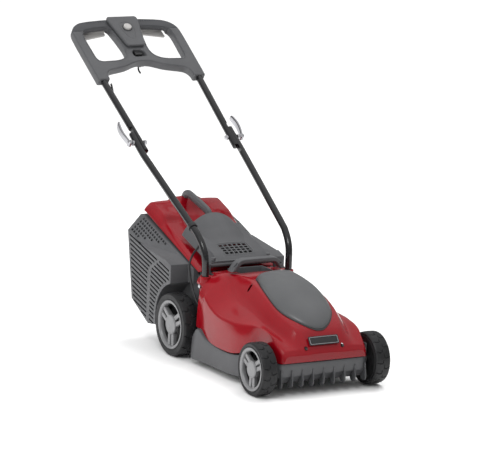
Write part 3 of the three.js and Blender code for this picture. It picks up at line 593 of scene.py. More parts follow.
def make_hood():
    rows = [hood_half(row) for row in eased(HOOD, HOOD_STATIONS)]
    stations = list(HOOD_STATIONS)
    rows.append(hood_half(NOSE[1:]))
    stations.append(NOSE[0])
    last = rows[-1]
    rows.append([(x * 0.995, 106 if z > 106 else z) for x, z in last])
    stations.append(NOSE[0] - 0.5)
    rows.append([(x * 0.99, 94) for x, z in last])
    stations.append(NOSE[0] + 0.2)
    hood = mirrored_sheet("hood", stations, rows)
    count = len(rows[0])
    crease_along(hood, count, UPPER, 0, 13, 0.92)
    crease_along(hood, count, LOWER, 3, 17, 0.92)
    crease_along(hood, count, RIDGE, 0, 20, 0.94)
    crease_across(hood, count, NOSE_ROWS, 0.55)
    thickened(subdivided(hood), PANEL)
    cutters = [block("cut", side * 150, side * 230, -98, 20, 40, 320) for _, side in SIDES]
    cutters += both_rods("cut", (57, -540, 129), (57, -499, 129), 5.2)
    cutters += both_rods("cut", (117, -110, 254), (110, -40, 252), 11)
    cutters += both_rods("cut", (134, -80, 150), (134, -80, 330), TUBE_RADIUS + 0.8)
    cutters.append(block("cut", -54, 54, -143, -68, 236, 300))
    for _, side in SIDES:
        way = place([(side * 84, -246, 300), (side * 84, -246, 190)])
        cutters.append(swept("cut", way, ring_section(8, 20, 5.4), (0, 1, 0)))
    combined(hood, cutters)
    bosses = both_rods("boss", (134, -80, 168), (134, -80, 242), 15.5)
    bores = both_rods("cut", (134, -80, 160), (134, -80, 260), TUBE_RADIUS + 0.6)
    for boss, bore in zip(bosses, bores):
        bevelled(combined(boss, [bore]), 1.2)
    tray = block("hood_recess", -56, 56, -145, -66, 233, 256)
    combined(tray, [block("cut", -53, 53, -142, -69, 236, 280)])
    finished(bevelled(tray, 1.0), "deck", "grey_plastic", "hood_shell")
    return finished(joined("hood", [hood, *bosses]), "deck", "red_gloss", "hood_shell", angle=40)


make_hood()

# ------------------------------------------------------------------ motor cover
COVER_HALF = [
    (0, -213), (32, -215), (50, -221), (58, -236), (62, -250), (73, -290), (81, -340), (82, -385),
    (73, -420),
    (54, -450), (34, -470), (14, -481), (0, -483),
]


def ridge_top(x, y):
    """The height of the hood's ridge."""
    rows = eased(HOOD, np.ravel(y))
    top, ridge = rows[:, 0], rows[:, 1]
    return (top - 4 * (np.abs(np.ravel(x)) / ridge)**2).reshape(np.shape(y))


def make_cover():
    outline = np.array(smooth_outline(both(COVER_HALF), 128, 0.45))
    heart = np.array([0, -318.0])
    radii = np.array([0.0, 0.12, 0.25, 0.38, 0.5, 0.62, 0.72, 0.81, 0.88, 0.93, 0.965, 0.985, 0.996, 1.0])
    rise = 35.0
    rings = []
    for r in radii:
        flat = heart + r * (outline - heart)
        profile = (1 - r**2.4)**0.62
        lean = 1 + 0.1 * (flat[:, 1] - heart[1]) / 160
        height = ridge_top(flat[:, 0], flat[:, 1]) + 2.2 + rise * profile * lean * 0.86
        rings.append(np.column_stack([flat, height]))
    rim = rings[-1].copy()
    rim[:, 2] = ridge_top(rim[:, 0], rim[:, 1]) + 0.9
    inner = rim.copy()
    inner[:, :2] = heart + 0.97 * (rim[:, :2] - heart)
    rings += [rim, inner]
    count = len(outline)
    faces = grid_faces(len(rings), count, close_columns=True)
    cover = mesh_piece("motor_cover_dome", place(np.vstack(rings)), faces)
    finished(thickened(cover, 1.5), "deck", "cover_grey", "motor_cover", angle=50)

    # A black ring at the cover's edge: painted shade, standing for the shaded gap between the cover and the
    # hood.
    seat_outline = heart + 1.02 * (outline - heart)
    seat_in = heart + 0.95 * (outline - heart)
    seat = [np.column_stack([o, ridge_top(o[:, 0], o[:, 1]) + lift])
            for o, lift in ((seat_outline, -1.0), (seat_outline, 0.7), (seat_in, 0.7), (seat_in, -1.0))]
    gap_shade_ring = mesh_piece("cover_gap_shade", place(np.vstack(seat)),
                        grid_faces(4, count, close_columns=True, close_rows=True))
    finished(gap_shade_ring, "deck", "black_plastic")


make_cover()

# ------------------------------------------------------------------ name plate, screws and bolts
def make_badge():
    """A blank plate with a raised rim, lying on the sloping nose."""
    turn = Matrix.Rotation(math.radians(-33), 3, "X")
    heart = Vector((0, -508, 147))

    def flat(points):
        lying = np.asarray(points, float)[:, [0, 2, 1]]
        return place([tuple(heart + turn @ Vector(p)) for p in lying])

    outline = both([(0, -12.6), (44, -12.6), (46.6, -10), (46.6, 10), (44, 12.6), (0, 12.6)])
    plate = slab("badge_field", outline, -1.0, 1.0, flat, round_by=0.3, segments=2)
    finished(plate, "deck", "black_plastic", "badge_plate")
    inmost = scaled(outline, 0.915, factor_up=0.74)
    rim = slab("badge_rim", scaled(outline, 0.94, factor_up=0.82), -0.6, 0.5, flat, holes=[inmost])
    co = np.array([v.co for v in rim.data.vertices])
    normal = turn @ Vector((0, -1, 0))
    rim.data.vertices.foreach_set("co", (co + np.array(normal) * 1.3 * MM).astype(np.float32).ravel())
    finished(rim, "deck", "steel")


make_badge()

# ------------------------------------------------------------------ carrying handle
def make_carry_handle():
    outline = both([(0, 297), (46, 297), (58, 294.5), (68, 288), (78, 276), (86, 262.8), (71, 262.8),
                    (64, 272), (57, 281),
                    (49, 284.4), (0, 284.8)])
    handle = slab("carry_handle_bar", outline, 118.2, 145.8,
                  lambda p: front_view(np.asarray(p) * (1, 1, -1)),
                  round_by=3.2, segments=4)
    leaning = [(a * 0.75 + b * 0.66, -a * 0.66 + b * 0.75) for a, b in ring_section(3.4, 20, 8.5)]
    combined(handle, [swept("cut", place([(side * 73, -150, 282.5), (side * 73, -138, 282.5)]), leaning,
                            (0, 0, side))
                      for _, side in SIDES])
    finished(handle, "deck", "grey_plastic", "carry_handle", angle=30)


make_carry_handle()

# ------------------------------------------------------------------ deck
SKIRT = [
    (-97, 179, 14, 78, 9), (-107, 181, 15, 88, 11), (-119, 182, 17, 104, 13), (-128, 182, 17, 108, 13),
    (-140, 181, 18, 106, 12),
    (-158, 179.5, 19, 93, 8), (-180, 178.5, 20, 84, 5), (-220, 177.5, 20, 77, 3), (-280, 177.5, 20, 75, 3),
    (-340, 174, 22, 79, 3),
    (-370, 160, 24, 90, 3), (-384, 148, 30, 92, 3), (-398, 142, 42, 92, 3), (-440, 141, 50, 92, 3),
    (-480, 141, 50, 92, 3),
    (-500, 139, 52, 92, 3),
]
COMB = {"count": 9, "from": -132.0, "to": 132.0, "thickness": 3.4}


def make_skirt():
    """The grey skirt round the deck: its sides, the front band and the rear edge, as one sheet."""
    path = [(half, y, low, high, lip) for y, half, low, high, lip in SKIRT]
    path += [(133, -511, 54, 92, 3), (122, -514.5, 55, 92, 3), (80, -515.5, 56, 92, 3),
             (40, -516, 56, 92, 3), (0, -516, 56, 92, 3)]
    path += [(-x, *rest) for x, *rest in reversed(path[:-1])]
    rings = []
    for x, y, low, high, lip in path:
        side = np.sign(x) if abs(x) > 135 else 0
        lean = 2.0 * side
        front = 1 if y < -505 else 0
        rings.append([
            (x + lean, y + 3 * front, low), (x + lean * 0.6, y + front, low + 0.35 * (high - low)),
            (x, y, high - 7), (x - 0.8 * side, y + 0.4 * front, high - 2),
            (x - lip * side, y + 2.6 * front, high - 0.4),
        ])
    count = len(rings[0])
    skirt = mesh_piece("skirt", place(np.array(rings).reshape(-1, 3)), grid_faces(len(rings), count))
    for line in (3, 2):
        crease_edges(skirt, [(r * count + line, (r + 1) * count + line) for r in range(len(rings) - 1)],
                     0.5)
    thickened(subdivided(skirt), 3)
    return skirt


def make_comb():
    """Curved fins under the front band, with a raking wall between them."""
    fin = smooth_outline([(-514, 74), (-516.5, 62), (-519.5, 50), (-521, 38), (-519, 28.5), (-511, 24),
                          (-500, 25), (-492, 34),
                          (-486, 50), (-484, 70)], 60, 0.5)
    pieces = []
    for i in range(COMB["count"]):
        x = COMB["from"] + i * (COMB["to"] - COMB["from"]) / (COMB["count"] - 1)
        pieces.append(slab("fin", fin, x - COMB["thickness"] / 2, x + COMB["thickness"] / 2, side_view,
                           round_by=0.9, segments=2))
    wall = slab("wall", [(-512, 66), (-509, 54), (-500, 42), (-488, 33), (-485, 34), (-496, 45), (-505, 57),
                         (-508, 66)],
                -131, 131, side_view, round_by=0.8, segments=2)
    pieces.append(wall)
    return pieces


def make_deck():
    """The chassis under the hood, from the CAD piece without its skirt, with a smooth skirt and comb."""
    piece = cad_copy("deck_base", "chassis")
    inside = [(x - 3.6 * np.sign(x), y) for x, y in
              [(166, -100), (170, -140), (174, -180), (176, -220), (177.5, -280), (174, -340), (160, -370),
               (148, -384),
               (142, -398), (141, -440), (141, -480), (139, -497), (130, -505)]]
    outline = inside + [(-x, y) for x, y in reversed(inside)]
    core = slab("core", outline, 0, 120, place)
    rear = block("rear", -200, 200, -108.5, 40, 0, 300)
    upper = block("upper", -104.5, 104.5, -175, 40, 100, 300)
    keep = combined(core, [rear, upper], "UNION")
    combined(piece, [keep], "INTERSECT")
    bevelled(piece, 0.6, 2)
    finished(joined("deck_and_comb", [piece, make_skirt(), *make_comb()]), "deck", "grey_plastic",
             "deck_base", angle=35)


make_deck()

# ------------------------------------------------------------------ wheels
TREAD_SIDES = 420


def tyre_groove(angle, across, count):
    """How deep the tread is cut, 0 to 1, at an angle round the tyre and a place from 0 to 1 across it."""
    pitch = 2 * math.pi / count
    depth = np.zeros_like(angle)
    for flip, shift in ((False, 0.0), (True, 0.5)):
        t = 1 - across if flip else across
        turn = ((angle / pitch + shift) % 1.0) - 0.5
        lines = [((0.0, -0.16), (0.30, 0.02)), ((0.30, 0.02), (0.44, -0.02)),
                 ((0.44, -0.02), (0.46, -0.26))]
        for (t0, a0), (t1, a1) in lines:
            direction = np.array([t1 - t0, (a1 - a0) * 0.8])
            length = np.linalg.norm(direction)
            dt, da = t - t0, (turn - a0) * 0.8
            s = np.clip((dt * direction[0] + da * direction[1]) / length**2, 0, 1)
            gap = np.hypot(dt - s * direction[0], da - s * direction[1])
            depth = np.maximum(depth, np.clip((0.034 - gap) / 0.012, 0, 1))
    return depth


def wheel_grid(profile, sides):
    """The profile's radii repeated round the wheel, and the angle of each."""
    angle = np.linspace(0, 2 * math.pi, sides, endpoint=False)
    angle, r = np.meshgrid(angle, profile[:, 0], indexing="ij")
    return r, angle


def round_axle(name, r, angle, across, size, side):
    """A closed surface about the wheel's axle; across is the place of each ring, from the inner side."""
    x = side * (size["outer_x"] - size["width"] + np.broadcast_to(across, r.shape))
    points = np.stack([x, size["y"] + r * np.cos(angle), size["radius"] + r * np.sin(angle)], -1)
    return mesh_piece(name, place(points.reshape(-1, 3)),
                      grid_faces(*r.shape, close_columns=True, close_rows=True))


def make_tyre(label, side, size):
    radius, rim, width = (size[k] for k in ("radius", "rim", "width"))
    tread = radius * 0.028
    sidewall = [(rim + 0.4, 3.0), (rim + 1.2, 1.2), (rim + 3, 0.8), (rim + 4.5, 2.0), (radius * 0.9, 0.9),
                (radius * 0.945, 1.0),
                (radius * 0.968, 2.6), (radius * 0.984, 5.4)]
    across = np.linspace(0.13, 0.87, 34)
    crown = [(radius - 0.0125 * radius * (2 * t - 1)**2 * 1.6, t * width) for t in across]
    other = [(r, width - a) for r, a in reversed(sidewall)]
    profile = np.array(sidewall + crown + other)
    r, angle = wheel_grid(profile, TREAD_SIDES)
    on_tread = np.clip((r / radius - 0.962) / 0.012, 0, 1)
    r = r - tread * tyre_groove(angle, np.repeat(profile[None, :, 1] / width, TREAD_SIDES, 0),
                                15) * on_tread
    tyre = round_axle(f"tyre_tread_{label}", r, angle, profile[:, 1], size, side)
    return finished(tyre, f"wheel_{label}", "tyre", f"tyre_{label}", angle=32)


def turned(name, profile, size, side, sides=72):
    """A body of revolution about the wheel's axle; profile is (radius, place across the wheel)."""
    profile = np.array(profile, float)
    r, angle = wheel_grid(profile, sides)
    return round_axle(name, r, angle, profile[:, 1], size, side)


def make_rim(label, side, size):
    rim, width = size["rim"], size["width"]
    hub = rim * 0.4
    ring = turned("ring", [
        (rim - 0.4, width - 14), (rim - 0.4, width - 2.6), (rim + 1.6, width - 1.4),
        (rim + 1.2, width - 0.5),
        (rim - 1.5, width - 0.3), (rim - 6.5, width - 2.4), (rim - 8.2, width - 6), (rim - 8.6, width - 14),
    ], size, side, 96)
    core = turned("core", [
        (5.6, 3), (13, 3), (13, width * 0.45), (hub - 2, width * 0.6), (hub, width * 0.66),
        (hub, width - 9.6), (5.6, width - 9.6),
    ], size, side)
    parts = [bevelled(ring, 0.7), bevelled(core, 0.7)]
    outer = size["outer_x"] - 4.0
    low, high = hub * 0.55, rim - 7.2
    middle = low + 0.5 * (high - low)
    section = ring_section(width * 0.13, 24, rim * 0.105, power=6)
    for i in range(3):
        turn = (2 * i + 1) * math.pi / 3
        c, s = math.cos(turn), math.sin(turn)
        for twin in (-1, 1):
            near, far = rim * 0.125 * twin, rim * 0.155 * twin
            path = [(side * (outer - width * 0.16), size["y"] - along * s + across * c,
                     size["radius"] + along * c + across * s)
                    for along, across in ((low, near), (middle, (near + far) / 2), (high, far))]
            parts.append(swept("spoke", place(path), section, (1, 0, 0)))
    finished(joined(f"rim_cast_{label}", parts), f"wheel_{label}", "rim_grey", f"rim_{label}", angle=35)
    well = turned(f"wheel_well_{label}", [(13.5, 4), (rim - 0.5, 4), (rim - 0.5, width - 14.2),
                                          (rim - 8.8, width - 14.2), (rim - 10, width * 0.34),
                           (13.5, width * 0.26)], size, side)
    finished(bevelled(well, 0.6), f"wheel_{label}", "black_plastic", angle=35)


def make_cap(label, side, size):
    rim, width = size["rim"], size["width"]
    hub = rim * 0.42
    cap = turned(f"hub_cap_face_{label}", [
        (0.01, width - 8.4), (hub, width - 8.4), (hub, width - 4.2), (hub - 1.6, width - 2.2),
        (hub - 4, width - 1.5), (hub - 5, width - 2.1),
        (hub * 0.4, width - 1.7), (0.01, width - 1.6),
    ], size, side)
    bevelled(cap, 0.5)
    return finished(cap, f"wheel_{label}", "rim_grey", f"hub_cap_{label}", angle=35)


for end, wheel_size in WHEELS.items():
    for side_name, side_sign in SIDES:
        wheel = f"{end}_{side_name}"
        make_tyre(wheel, side_sign, wheel_size)
        make_rim(wheel, side_sign, wheel_size)
        make_cap(wheel, side_sign, wheel_size)

# ------------------------------------------------------------------ flap over the discharge
FLAP = {"pin_y": -50.0, "pin_z": 264.0, "half": 99.0, "rear_y": 130.0, "slope": 0.3}
GRILLE = {"half": 45.0, "front": -33.0, "rear": 18.0, "columns": 6, "rows": 4, "bar": 4.0}
WING_START = 83.0   # where the flap's sides begin to hang
FLAP_DOME = [(-60, 0, 34), (0, 0, 42), (30, 5, 52), (70, 20, 64), (100, 31, 70), (130, 35.5, 72)]


def flap_height(x, y):
    """The flap's top: a sloping plate, a dome that grows to the rear, and wings that hang at the sides."""
    rise, half = eased(FLAP_DOME, y.ravel()).T.reshape(2, *y.shape)
    front = np.clip((y - FLAP["pin_y"]) / 30, 0, 1)
    plate = FLAP["pin_z"] + 21 + FLAP["slope"] * (y - FLAP["pin_y"]) - 10 * (1 - front)**2
    dome = rise * np.clip(1 - (x / half)**2, 0, 1)**0.85
    wing = np.clip((np.abs(x) - WING_START) / (FLAP["half"] - WING_START), 0, 1)
    height = plate + dome - (24 * front + 18 * (1 - front)) * wing**1.15
    middle = (GRILLE["front"] + GRILLE["rear"]) / 2
    reach_x = np.abs(x) - GRILLE["half"] - 2
    reach_y = np.abs(y - middle) - (GRILLE["rear"] - GRILLE["front"]) / 2 - 2
    edge = np.maximum(reach_x, reach_y)
    return height + 1.5 * np.exp(-(edge / 1.8)**2) - 1.2 * (edge < -1.5)


def make_flap():
    pitch_x = 2 * GRILLE["half"] / GRILLE["columns"]
    pitch_y = (GRILLE["rear"] - GRILLE["front"]) / GRILLE["rows"]
    bar_sides = (-GRILLE["bar"] / 2, GRILLE["bar"] / 2)
    edges_x = [-GRILLE["half"] + i * pitch_x + s for i in range(GRILLE["columns"] + 1) for s in bar_sides]
    edges_y = [GRILLE["front"] + i * pitch_y + s for i in range(GRILLE["rows"] + 1) for s in bar_sides]
    spread_x = list(np.linspace(-FLAP["half"], FLAP["half"], 85)) + [-WING_START, WING_START]
    spread_y = list(np.linspace(FLAP["pin_y"] - 2, FLAP["rear_y"], 73))
    xs = np.array(sorted(set(np.round(spread_x + edges_x, 2))))
    ys = np.array(sorted(set(np.round(spread_y + edges_y, 2))))
    y, x = np.meshgrid(ys, xs, indexing="ij")
    points = np.stack([x, y, flap_height(x, y)], -1)

    def in_window(px, py):
        if not (abs(px) < GRILLE["half"] and GRILLE["front"] < py < GRILLE["rear"]):
            return False
        dx = (px + GRILLE["half"]) % pitch_x
        dy = (py - GRILLE["front"]) % pitch_y
        return min(dx, pitch_x - dx) > GRILLE["bar"] / 2 and min(dy, pitch_y - dy) > GRILLE["bar"] / 2

    faces = []
    for face in grid_faces(len(ys), len(xs)):
        r, c = divmod(face[0], len(xs))
        if not in_window((xs[c] + xs[c + 1]) / 2, (ys[r] + ys[r + 1]) / 2):
            faces.append(face)
    sheet = mesh_piece("flap_sheet", place(points.reshape(-1, 3)), faces)
    thickened(sheet, PANEL)
    pin = (FLAP["pin_y"], FLAP["pin_z"])
    barrel = rod("barrel", *place([(-104, *pin), (104, *pin)]), 6)
    web = block("web", -100, 100, pin[0] - 3, pin[0] + 2, pin[1], pin[1] + 9)
    knobs = [bevelled(knob, 2.0, 4) for knob in both_rods("knob", (88, -40, 272), (88, -40, 284), 7)]
    parts = [sheet, bevelled(barrel, 0.8), web, *knobs]
    finished(joined("flap", parts), "flap", "grey_plastic", "rear_flap", angle=35)
    # A black sheet under the grille's windows: painted shade, standing for the dark, shaded space seen
    # through the windows.
    y, x = np.meshgrid(np.linspace(GRILLE["front"] - 3, GRILLE["rear"] + 3, 9), np.linspace(-48, 48, 13),
                       indexing="ij")
    under = np.stack([x, y, FLAP["pin_z"] + 21 + FLAP["slope"] * (y - FLAP["pin_y"]) - 6.5], -1)
    shade = mesh_piece("grille_shade_sheet", place(under.reshape(-1, 3)), grid_faces(9, 13))
    finished(thickened(shade, 1.2), "flap", "black_plastic")


make_flap()

# ------------------------------------------------------------------ grass box
BOX = {"rear_y": 310.0, "rear_z": 352.0, "slope": 0.334}
ARCH = {"radius": 114.0, "z": 90.0}
BORDER = ([60, 205, 222, 236, 252, 262], [160, 160, 152, 132, 104, 70])   # the border line's z and y


def lid_edge(y):
    return BOX["rear_z"] - BOX["slope"] * (BOX["rear_y"] - y)


def stadium(start, end, half):
    """A slot's outline between two points, with round ends."""
    start, end = np.array(start, float), np.array(end, float)
    along = (end - start) / np.linalg.norm(end - start)
    across = np.array([-along[1], along[0]])
    turn = np.linspace(-math.pi / 2, math.pi / 2, 7)
    far = [tuple(end + half * (math.cos(a) * along + math.sin(a) * across)) for a in turn]
    near = [tuple(start - half * (math.cos(a) * along + math.sin(a) * across)) for a in turn]
    return far + near


SLAT_FALL = math.tan(math.radians(12.8))
SLOT_HALF = 2.7


SLOT_FRONT = 38


def slat_height(k, y):
    return 292 - 12.6 * k - SLAT_FALL * (290 - y)


def slot_allowed(y, z, region):
    """Whether a slot may run here: behind the border line, or between it and the wheel arch."""
    rear = 262 + (z - 108) * 36 / 192 if z > 108 else 157 + (z - 57) / 0.486
    line = np.interp(z, *BORDER)
    top = 262 + (y - 66) * 50 / 264 - 9
    if z > top or y > rear - 9:
        return False
    if region == "main":
        return y > line + 7
    return y < line - 8 and math.hypot(y, z - ARCH["z"]) > ARCH["radius"] + 9 and y > SLOT_FRONT


def side_slots():
    """Outlines of the side's slots, seen from the side, row by row from the top."""
    slots = []
    for k in range(18):
        places = [(y, slat_height(k, y)) for y in np.arange(SLOT_FRONT, 300, 1.0)]
        for region in ("main", "bulge"):
            good = [(y, z) for y, z in places if slot_allowed(y, z, region)]
            if len(good) > 9:
                (front_y, front_z), (rear_y, rear_z) = good[0], good[-1]
                slots.append(stadium((front_y + SLOT_HALF, front_z), (rear_y - SLOT_HALF, rear_z), SLOT_HALF))
    return slots


def make_box_body():
    """The CAD solid with rounded edges, slots down its sides and rows of holes along its shoulders."""
    body = softened("grass_box_body", 2.4, 4)
    slots, holes = [], []
    for _, side in SIDES:
        slots += [slab("slot", outline, *sorted((side * 118, side * 240)), side_view)
                  for outline in side_slots()]
        for row in range(5):
            x = 140 + 9.0 * row
            for i in range(12 - 2 * row):
                y = 286 - 12.4 * i
                z = lid_edge(y) - 0.62 * (x - 128)
                holes.append(block("hole", side * x - 3.0, side * x + 3.0, y - 4.0, y + 4.0, z - 16,
                                   z + 30))
    combined(body, [joined("slots", slots), joined("holes", holes)])
    finished(body, "grass_box", "grey_plastic", "grass_box_body", angle=30)


make_box_body()

# y, rise of the outer crest, rise of the middle, above the lid's edge
LID = [
    (-22, 6, 9), (40, 9, 14), (120, 12, 12), (150, 14, 8), (205, 18, 8), (214, 22, 8), (226, 33, 10),
    (258, 33, 14),
    (285, 33, 38), (303, 30, 42), (315, 21, 30),
]
LID_STATIONS = (-22, 0, 40, 80, 120, 150, 180, 204, 212, 220, 228, 244, 262, 275, 285, 295, 303, 311, 316)


STEP_ROWS = (8, 10)   # the rows on either side of the step up in the lid
REAR_ROW = 18


def make_lid():
    halves, stations = [], []
    for y, (crest, middle) in zip(LID_STATIONS, eased(LID, LID_STATIONS)):
        edge = lid_edge(min(y, BOX["rear_y"]))
        halves.append([(0, edge + middle), (26, edge + middle),
                       (42, edge + middle + 0.25 * (crest - middle)),
                       (54, edge + middle + 0.86 * (crest - middle)), (84, edge + crest + 1),
                       (108, edge + crest - 1),
                       (119, edge + crest * 0.55), (124.4, edge + crest * 0.16), (125, edge)])
        stations.append(y)
    low_edge = lid_edge(BOX["rear_y"])
    halves.append([(x * 0.985, low_edge + 6 if z > low_edge + 6 else z) for x, z in halves[-1]])
    stations.append(317.6)
    halves.append([(x * 0.985, low_edge) for x, z in halves[-1]])
    stations.append(318)
    front_edge = lid_edge(-22)
    halves.insert(0, [(x, front_edge) for x, z in halves[0]])
    stations.insert(0, -23)
    lid = mirrored_sheet("lid_sheet", stations, halves)
    count = len(halves[0])
    for offset, amount in ((5, 0.75), (3, 0.55), (2, 0.4)):
        crease_along(lid, count, offset, 0, len(halves) - 1, amount)
    crease_across(lid, count, STEP_ROWS, 0.55)
    crease_across(lid, count, [REAR_ROW], 0.4)
    thickened(subdivided(lid), PANEL)
    finished(lid, "grass_box", "red_gloss", "grass_box_lid", angle=40)


make_lid()


def make_box_handle():
    path = curve_through([(0, 304, 384), (0, 295, 395), (0, 276, 400), (0, 235, 391.5), (0, 190, 380.5),
                          (0, 160, 371),
                          (0, 149, 356), (0, 146, 330), (0, 146, 308)], 72)
    arch = swept("arch", place(path), ring_section(11.5, 36, 7.0, power=3.2), (1, 0, 0))
    spine = swept("spine", place(path[8:60]), ring_section(6.5, 28, 8.4, power=4), (1, 0, 0))
    finished(joined("box_handle", [arch, spine]), "grass_box", "grey_plastic", "grass_box_handle", angle=40)


make_box_handle()

# ------------------------------------------------------------------ handle tubes and clamps
CLAMP_FACE = 154.5


def make_lower_tube(name, side):
    straight = [(side * 134, -80, 172), (side * 134, -80, 235)]
    a, b, c, d = (np.array(p, float) for p in (
        (side * 135, -79, 285), (side * 136, -78, 318), (side * 140, -49, 346), (side * 141.5, -22, 362)))
    bend = [tuple((1 - t)**3 * a + 3 * (1 - t)**2 * t * b + 3 * (1 - t) * t**2 * c + t**3 * d)
            for t in (0, 0.25, 0.5, 0.75, 1)]
    near, end = on_handle([(side * 160, -60, 0), (side * 160, 38, 0)])
    lower = place(straight + bend)
    path = curve_through(np.vstack([lower, near, end]), 90, 0.25)
    tube = swept(f"tube_lower_{name}", path, ring_section(TUBE_RADIUS, 40), (1, 0, 0))
    inner = side * (CLAMP_FACE + 0.2)
    combined(tube, [block("flat", *sorted((0.0, inner)), -64, 80, -40, 40, where=on_handle)])
    finished(bevelled(tube, 0.5, 2, 40), "deck", "black_tube", f"lower_tube_{name}", angle=35)


def make_upper_tube(name, side):
    ends = on_handle([(side * 149, -38, 0), (side * 159.9, 302, 0)])
    tube = swept(f"tube_upper_{name}", ends, ring_section(TUBE_RADIUS, 40), (1, 0, 0))
    outer = side * (CLAMP_FACE - 0.2)
    combined(tube, [block("flat", *sorted((outer, side * 200)), -60, 60, -30, 30, where=on_handle)])
    finished(bevelled(tube, 0.5, 2, 40), "upper_handle", "black_tube", f"upper_tube_{name}", angle=35)


def make_lever(name, side):
    """A cam lever: a round barrel on the clamp bolt and a curved blade that tapers to its tip."""
    path = curve_through([(184.5, 0, 0), (188, 14, 0), (191.5, 34, 0), (192, 54, 0), (189.5, 72, 0),
                          (186, 86, 0)], 40)
    path[:, 0] *= side
    scale = np.interp(np.linspace(0, 1, 40), [0, 0.2, 0.7, 0.95, 1], [0.75, 0.9, 1.0, 0.9, 0.6])
    blade = swept("blade_lever", on_handle(path), ring_section(11.0, 32, 3.6, power=3), (side, 0, 0), scale)
    barrel = bevelled(rod("barrel", *on_handle([(side * 184, 0, -8.8), (side * 184, 0, 8.8)]), 7.5, 40),
                      3.0, 5)
    finished(joined(f"cam_lever_{name}", [blade, barrel]), f"lever_{name[0]}", "chrome",
             f"clamp_lever_{name}", angle=40)


for side_name, side_sign in SIDES:
    make_lower_tube(side_name, side_sign)
    make_upper_tube(side_name, side_sign)
    make_lever(side_name, side_sign)

# ------------------------------------------------------------------ handle
HANDLE_HALF = [
    (0, 340), (25, 337), (45, 328), (62, 320), (85, 314), (110, 309), (126, 304), (135, 295), (139.5, 283),
    (140, 268),
    (143, 265.2), (159, 265), (175, 265.2), (178, 268), (179, 350), (180, 440), (179, 478), (172, 497),
    (158, 511), (140, 520), (110, 525),
    (60, 529), (0, 531),
]
WINDOW = [
    (54, 497), (44, 440), (40, 400), (41, 380), (48, 364), (62, 353), (84, 347), (132, 345), (143, 350),
    (147, 362), (149, 440),
    (148, 466), (143, 480), (132, 487), (100, 493),
]
INLET_HOLE = [(-19, 360), (19, 360), (21, 376), (14, 389), (-14, 389), (-21, 376)]
HANDLE = {"low": -14.0, "high": 12.0, "seam": 480.0}
BUTTON_U = 478   # how far up the handle the lock button is


def corner_rounded(outline, radius, steps=5):
    """The outline with each corner turned into an arc of about the radius."""
    pts = np.array(outline, float)
    made = []
    for i, p in enumerate(pts):
        a, b = pts[i - 1] - p, pts[(i + 1) % len(pts)] - p
        la, lb = np.linalg.norm(a), np.linalg.norm(b)
        reach = min(radius, 0.45 * la, 0.45 * lb)
        start, end = p + a / la * reach, p + b / lb * reach
        for t in np.linspace(0, 1, steps):
            made.append(tuple((1 - t)**2 * start + 2 * t * (1 - t) * p + t**2 * end))
    return made


def make_handle():
    outline = corner_rounded(both(HANDLE_HALF), 12, 4)
    windows = [corner_rounded([(side * x, u) for x, u in WINDOW], 10, 4) for _, side in SIDES]
    hole = corner_rounded(INLET_HOLE, 4, 4)

    def mass(name):
        return slab(name, outline, HANDLE["low"], HANDLE["high"], on_handle, holes=[*windows, hole],
                    round_by=4.2, segments=4)

    def past_seam():
        return block("cut", -300, 300, HANDLE["seam"] - 0.7, 700, -60, 60, where=on_handle)

    body = combined(mass("handle_body"), [past_seam()])
    rims = []
    for window in windows:
        rim = slab("rim", grown(window, 5.5), HANDLE["high"] - 2, HANDLE["high"] + 0.9, on_handle,
                   holes=[grown(window, 2.5)], round_by=0.6, segments=2)
        rims.append(combined(rim, [past_seam()]))
    body = joined("handle_moulding", [bevelled(body, 0.8, 2, 60), *rims])
    finished(body, "upper_handle", "grey_plastic", "handle_frame", angle=35)
    grip = mass("grip_sleeve")
    room = [block("cut", *sorted((side * 55.5, side * 142)), 478, 508, -60, -4, where=on_handle) for _,
            side in SIDES]
    ribs = [block("cut", *sorted((side * x, side * (x + 2.0))), 514, 560, HANDLE["high"] - 0.9, 40,
                  where=on_handle)
            for _, side in SIDES for x in range(62, 136, 8)]
    before_seam = block("cut", -300, 300, -100, HANDLE["seam"] + 0.7, -60, 60, where=on_handle)
    combined(grip, [before_seam, *room, joined("ribs", ribs)])
    finished(bevelled(grip, 0.8, 2, 60), "upper_handle", "grip_rubber", "handle_grip", angle=35)


make_handle()


def make_switch_housing():
    outline = corner_rounded([(-26, 399), (26, 399), (31, 407), (52, 520), (47, 531), (-47, 531),
                              (-52, 520), (-31, 407)], 9, 5)
    housing = slab("switch_box", outline, HANDLE["high"] + 0.4, 22, on_handle, round_by=3.4, segments=4)
    combined(housing, [rod("cut", *on_handle([(0, BUTTON_U, 12.9), (0, BUTTON_U, 40)]), 13.2, 48)])
    turn = np.linspace(0, 2 * math.pi, 64, endpoint=False)
    circle = [(15.8 * math.cos(a), BUTTON_U + 15.8 * math.sin(a)) for a in turn]
    inner = scaled(circle, 0.85, BUTTON_U)
    collar = slab("collar", circle, 21, 22.9, on_handle, holes=[inner], round_by=0.5, segments=2)
    shield = corner_rounded([(-21, 500), (-23, 470), (-14, 440), (0, 425), (14, 440), (23, 470), (21, 500),
                             (0, 508)], 14, 6)
    line = slab("line", shield, 21.2, 22.6, on_handle, holes=[scaled(shield, 0.93, 470)], round_by=0.3,
                segments=1)
    finished(joined("switch_cover", [housing, collar, line]), "upper_handle", "grey_plastic",
             "switch_housing", angle=35)
    seat = slab("button_seat", scaled(circle, 0.98, BUTTON_U), 21.6, 23.6, on_handle,
                holes=[scaled(circle, 0.84, BUTTON_U)], round_by=0.5, segments=2)
    finished(seat, "upper_handle", "black_plastic", angle=35)
    button = bevelled(rod("button_cap", *on_handle([(0, BUTTON_U, 17), (0, BUTTON_U, 28.6)]), 12.4, 48),
                      1.8, 4)
    finished(button, "button", "light_grey", "lock_button", angle=35)


make_switch_housing()


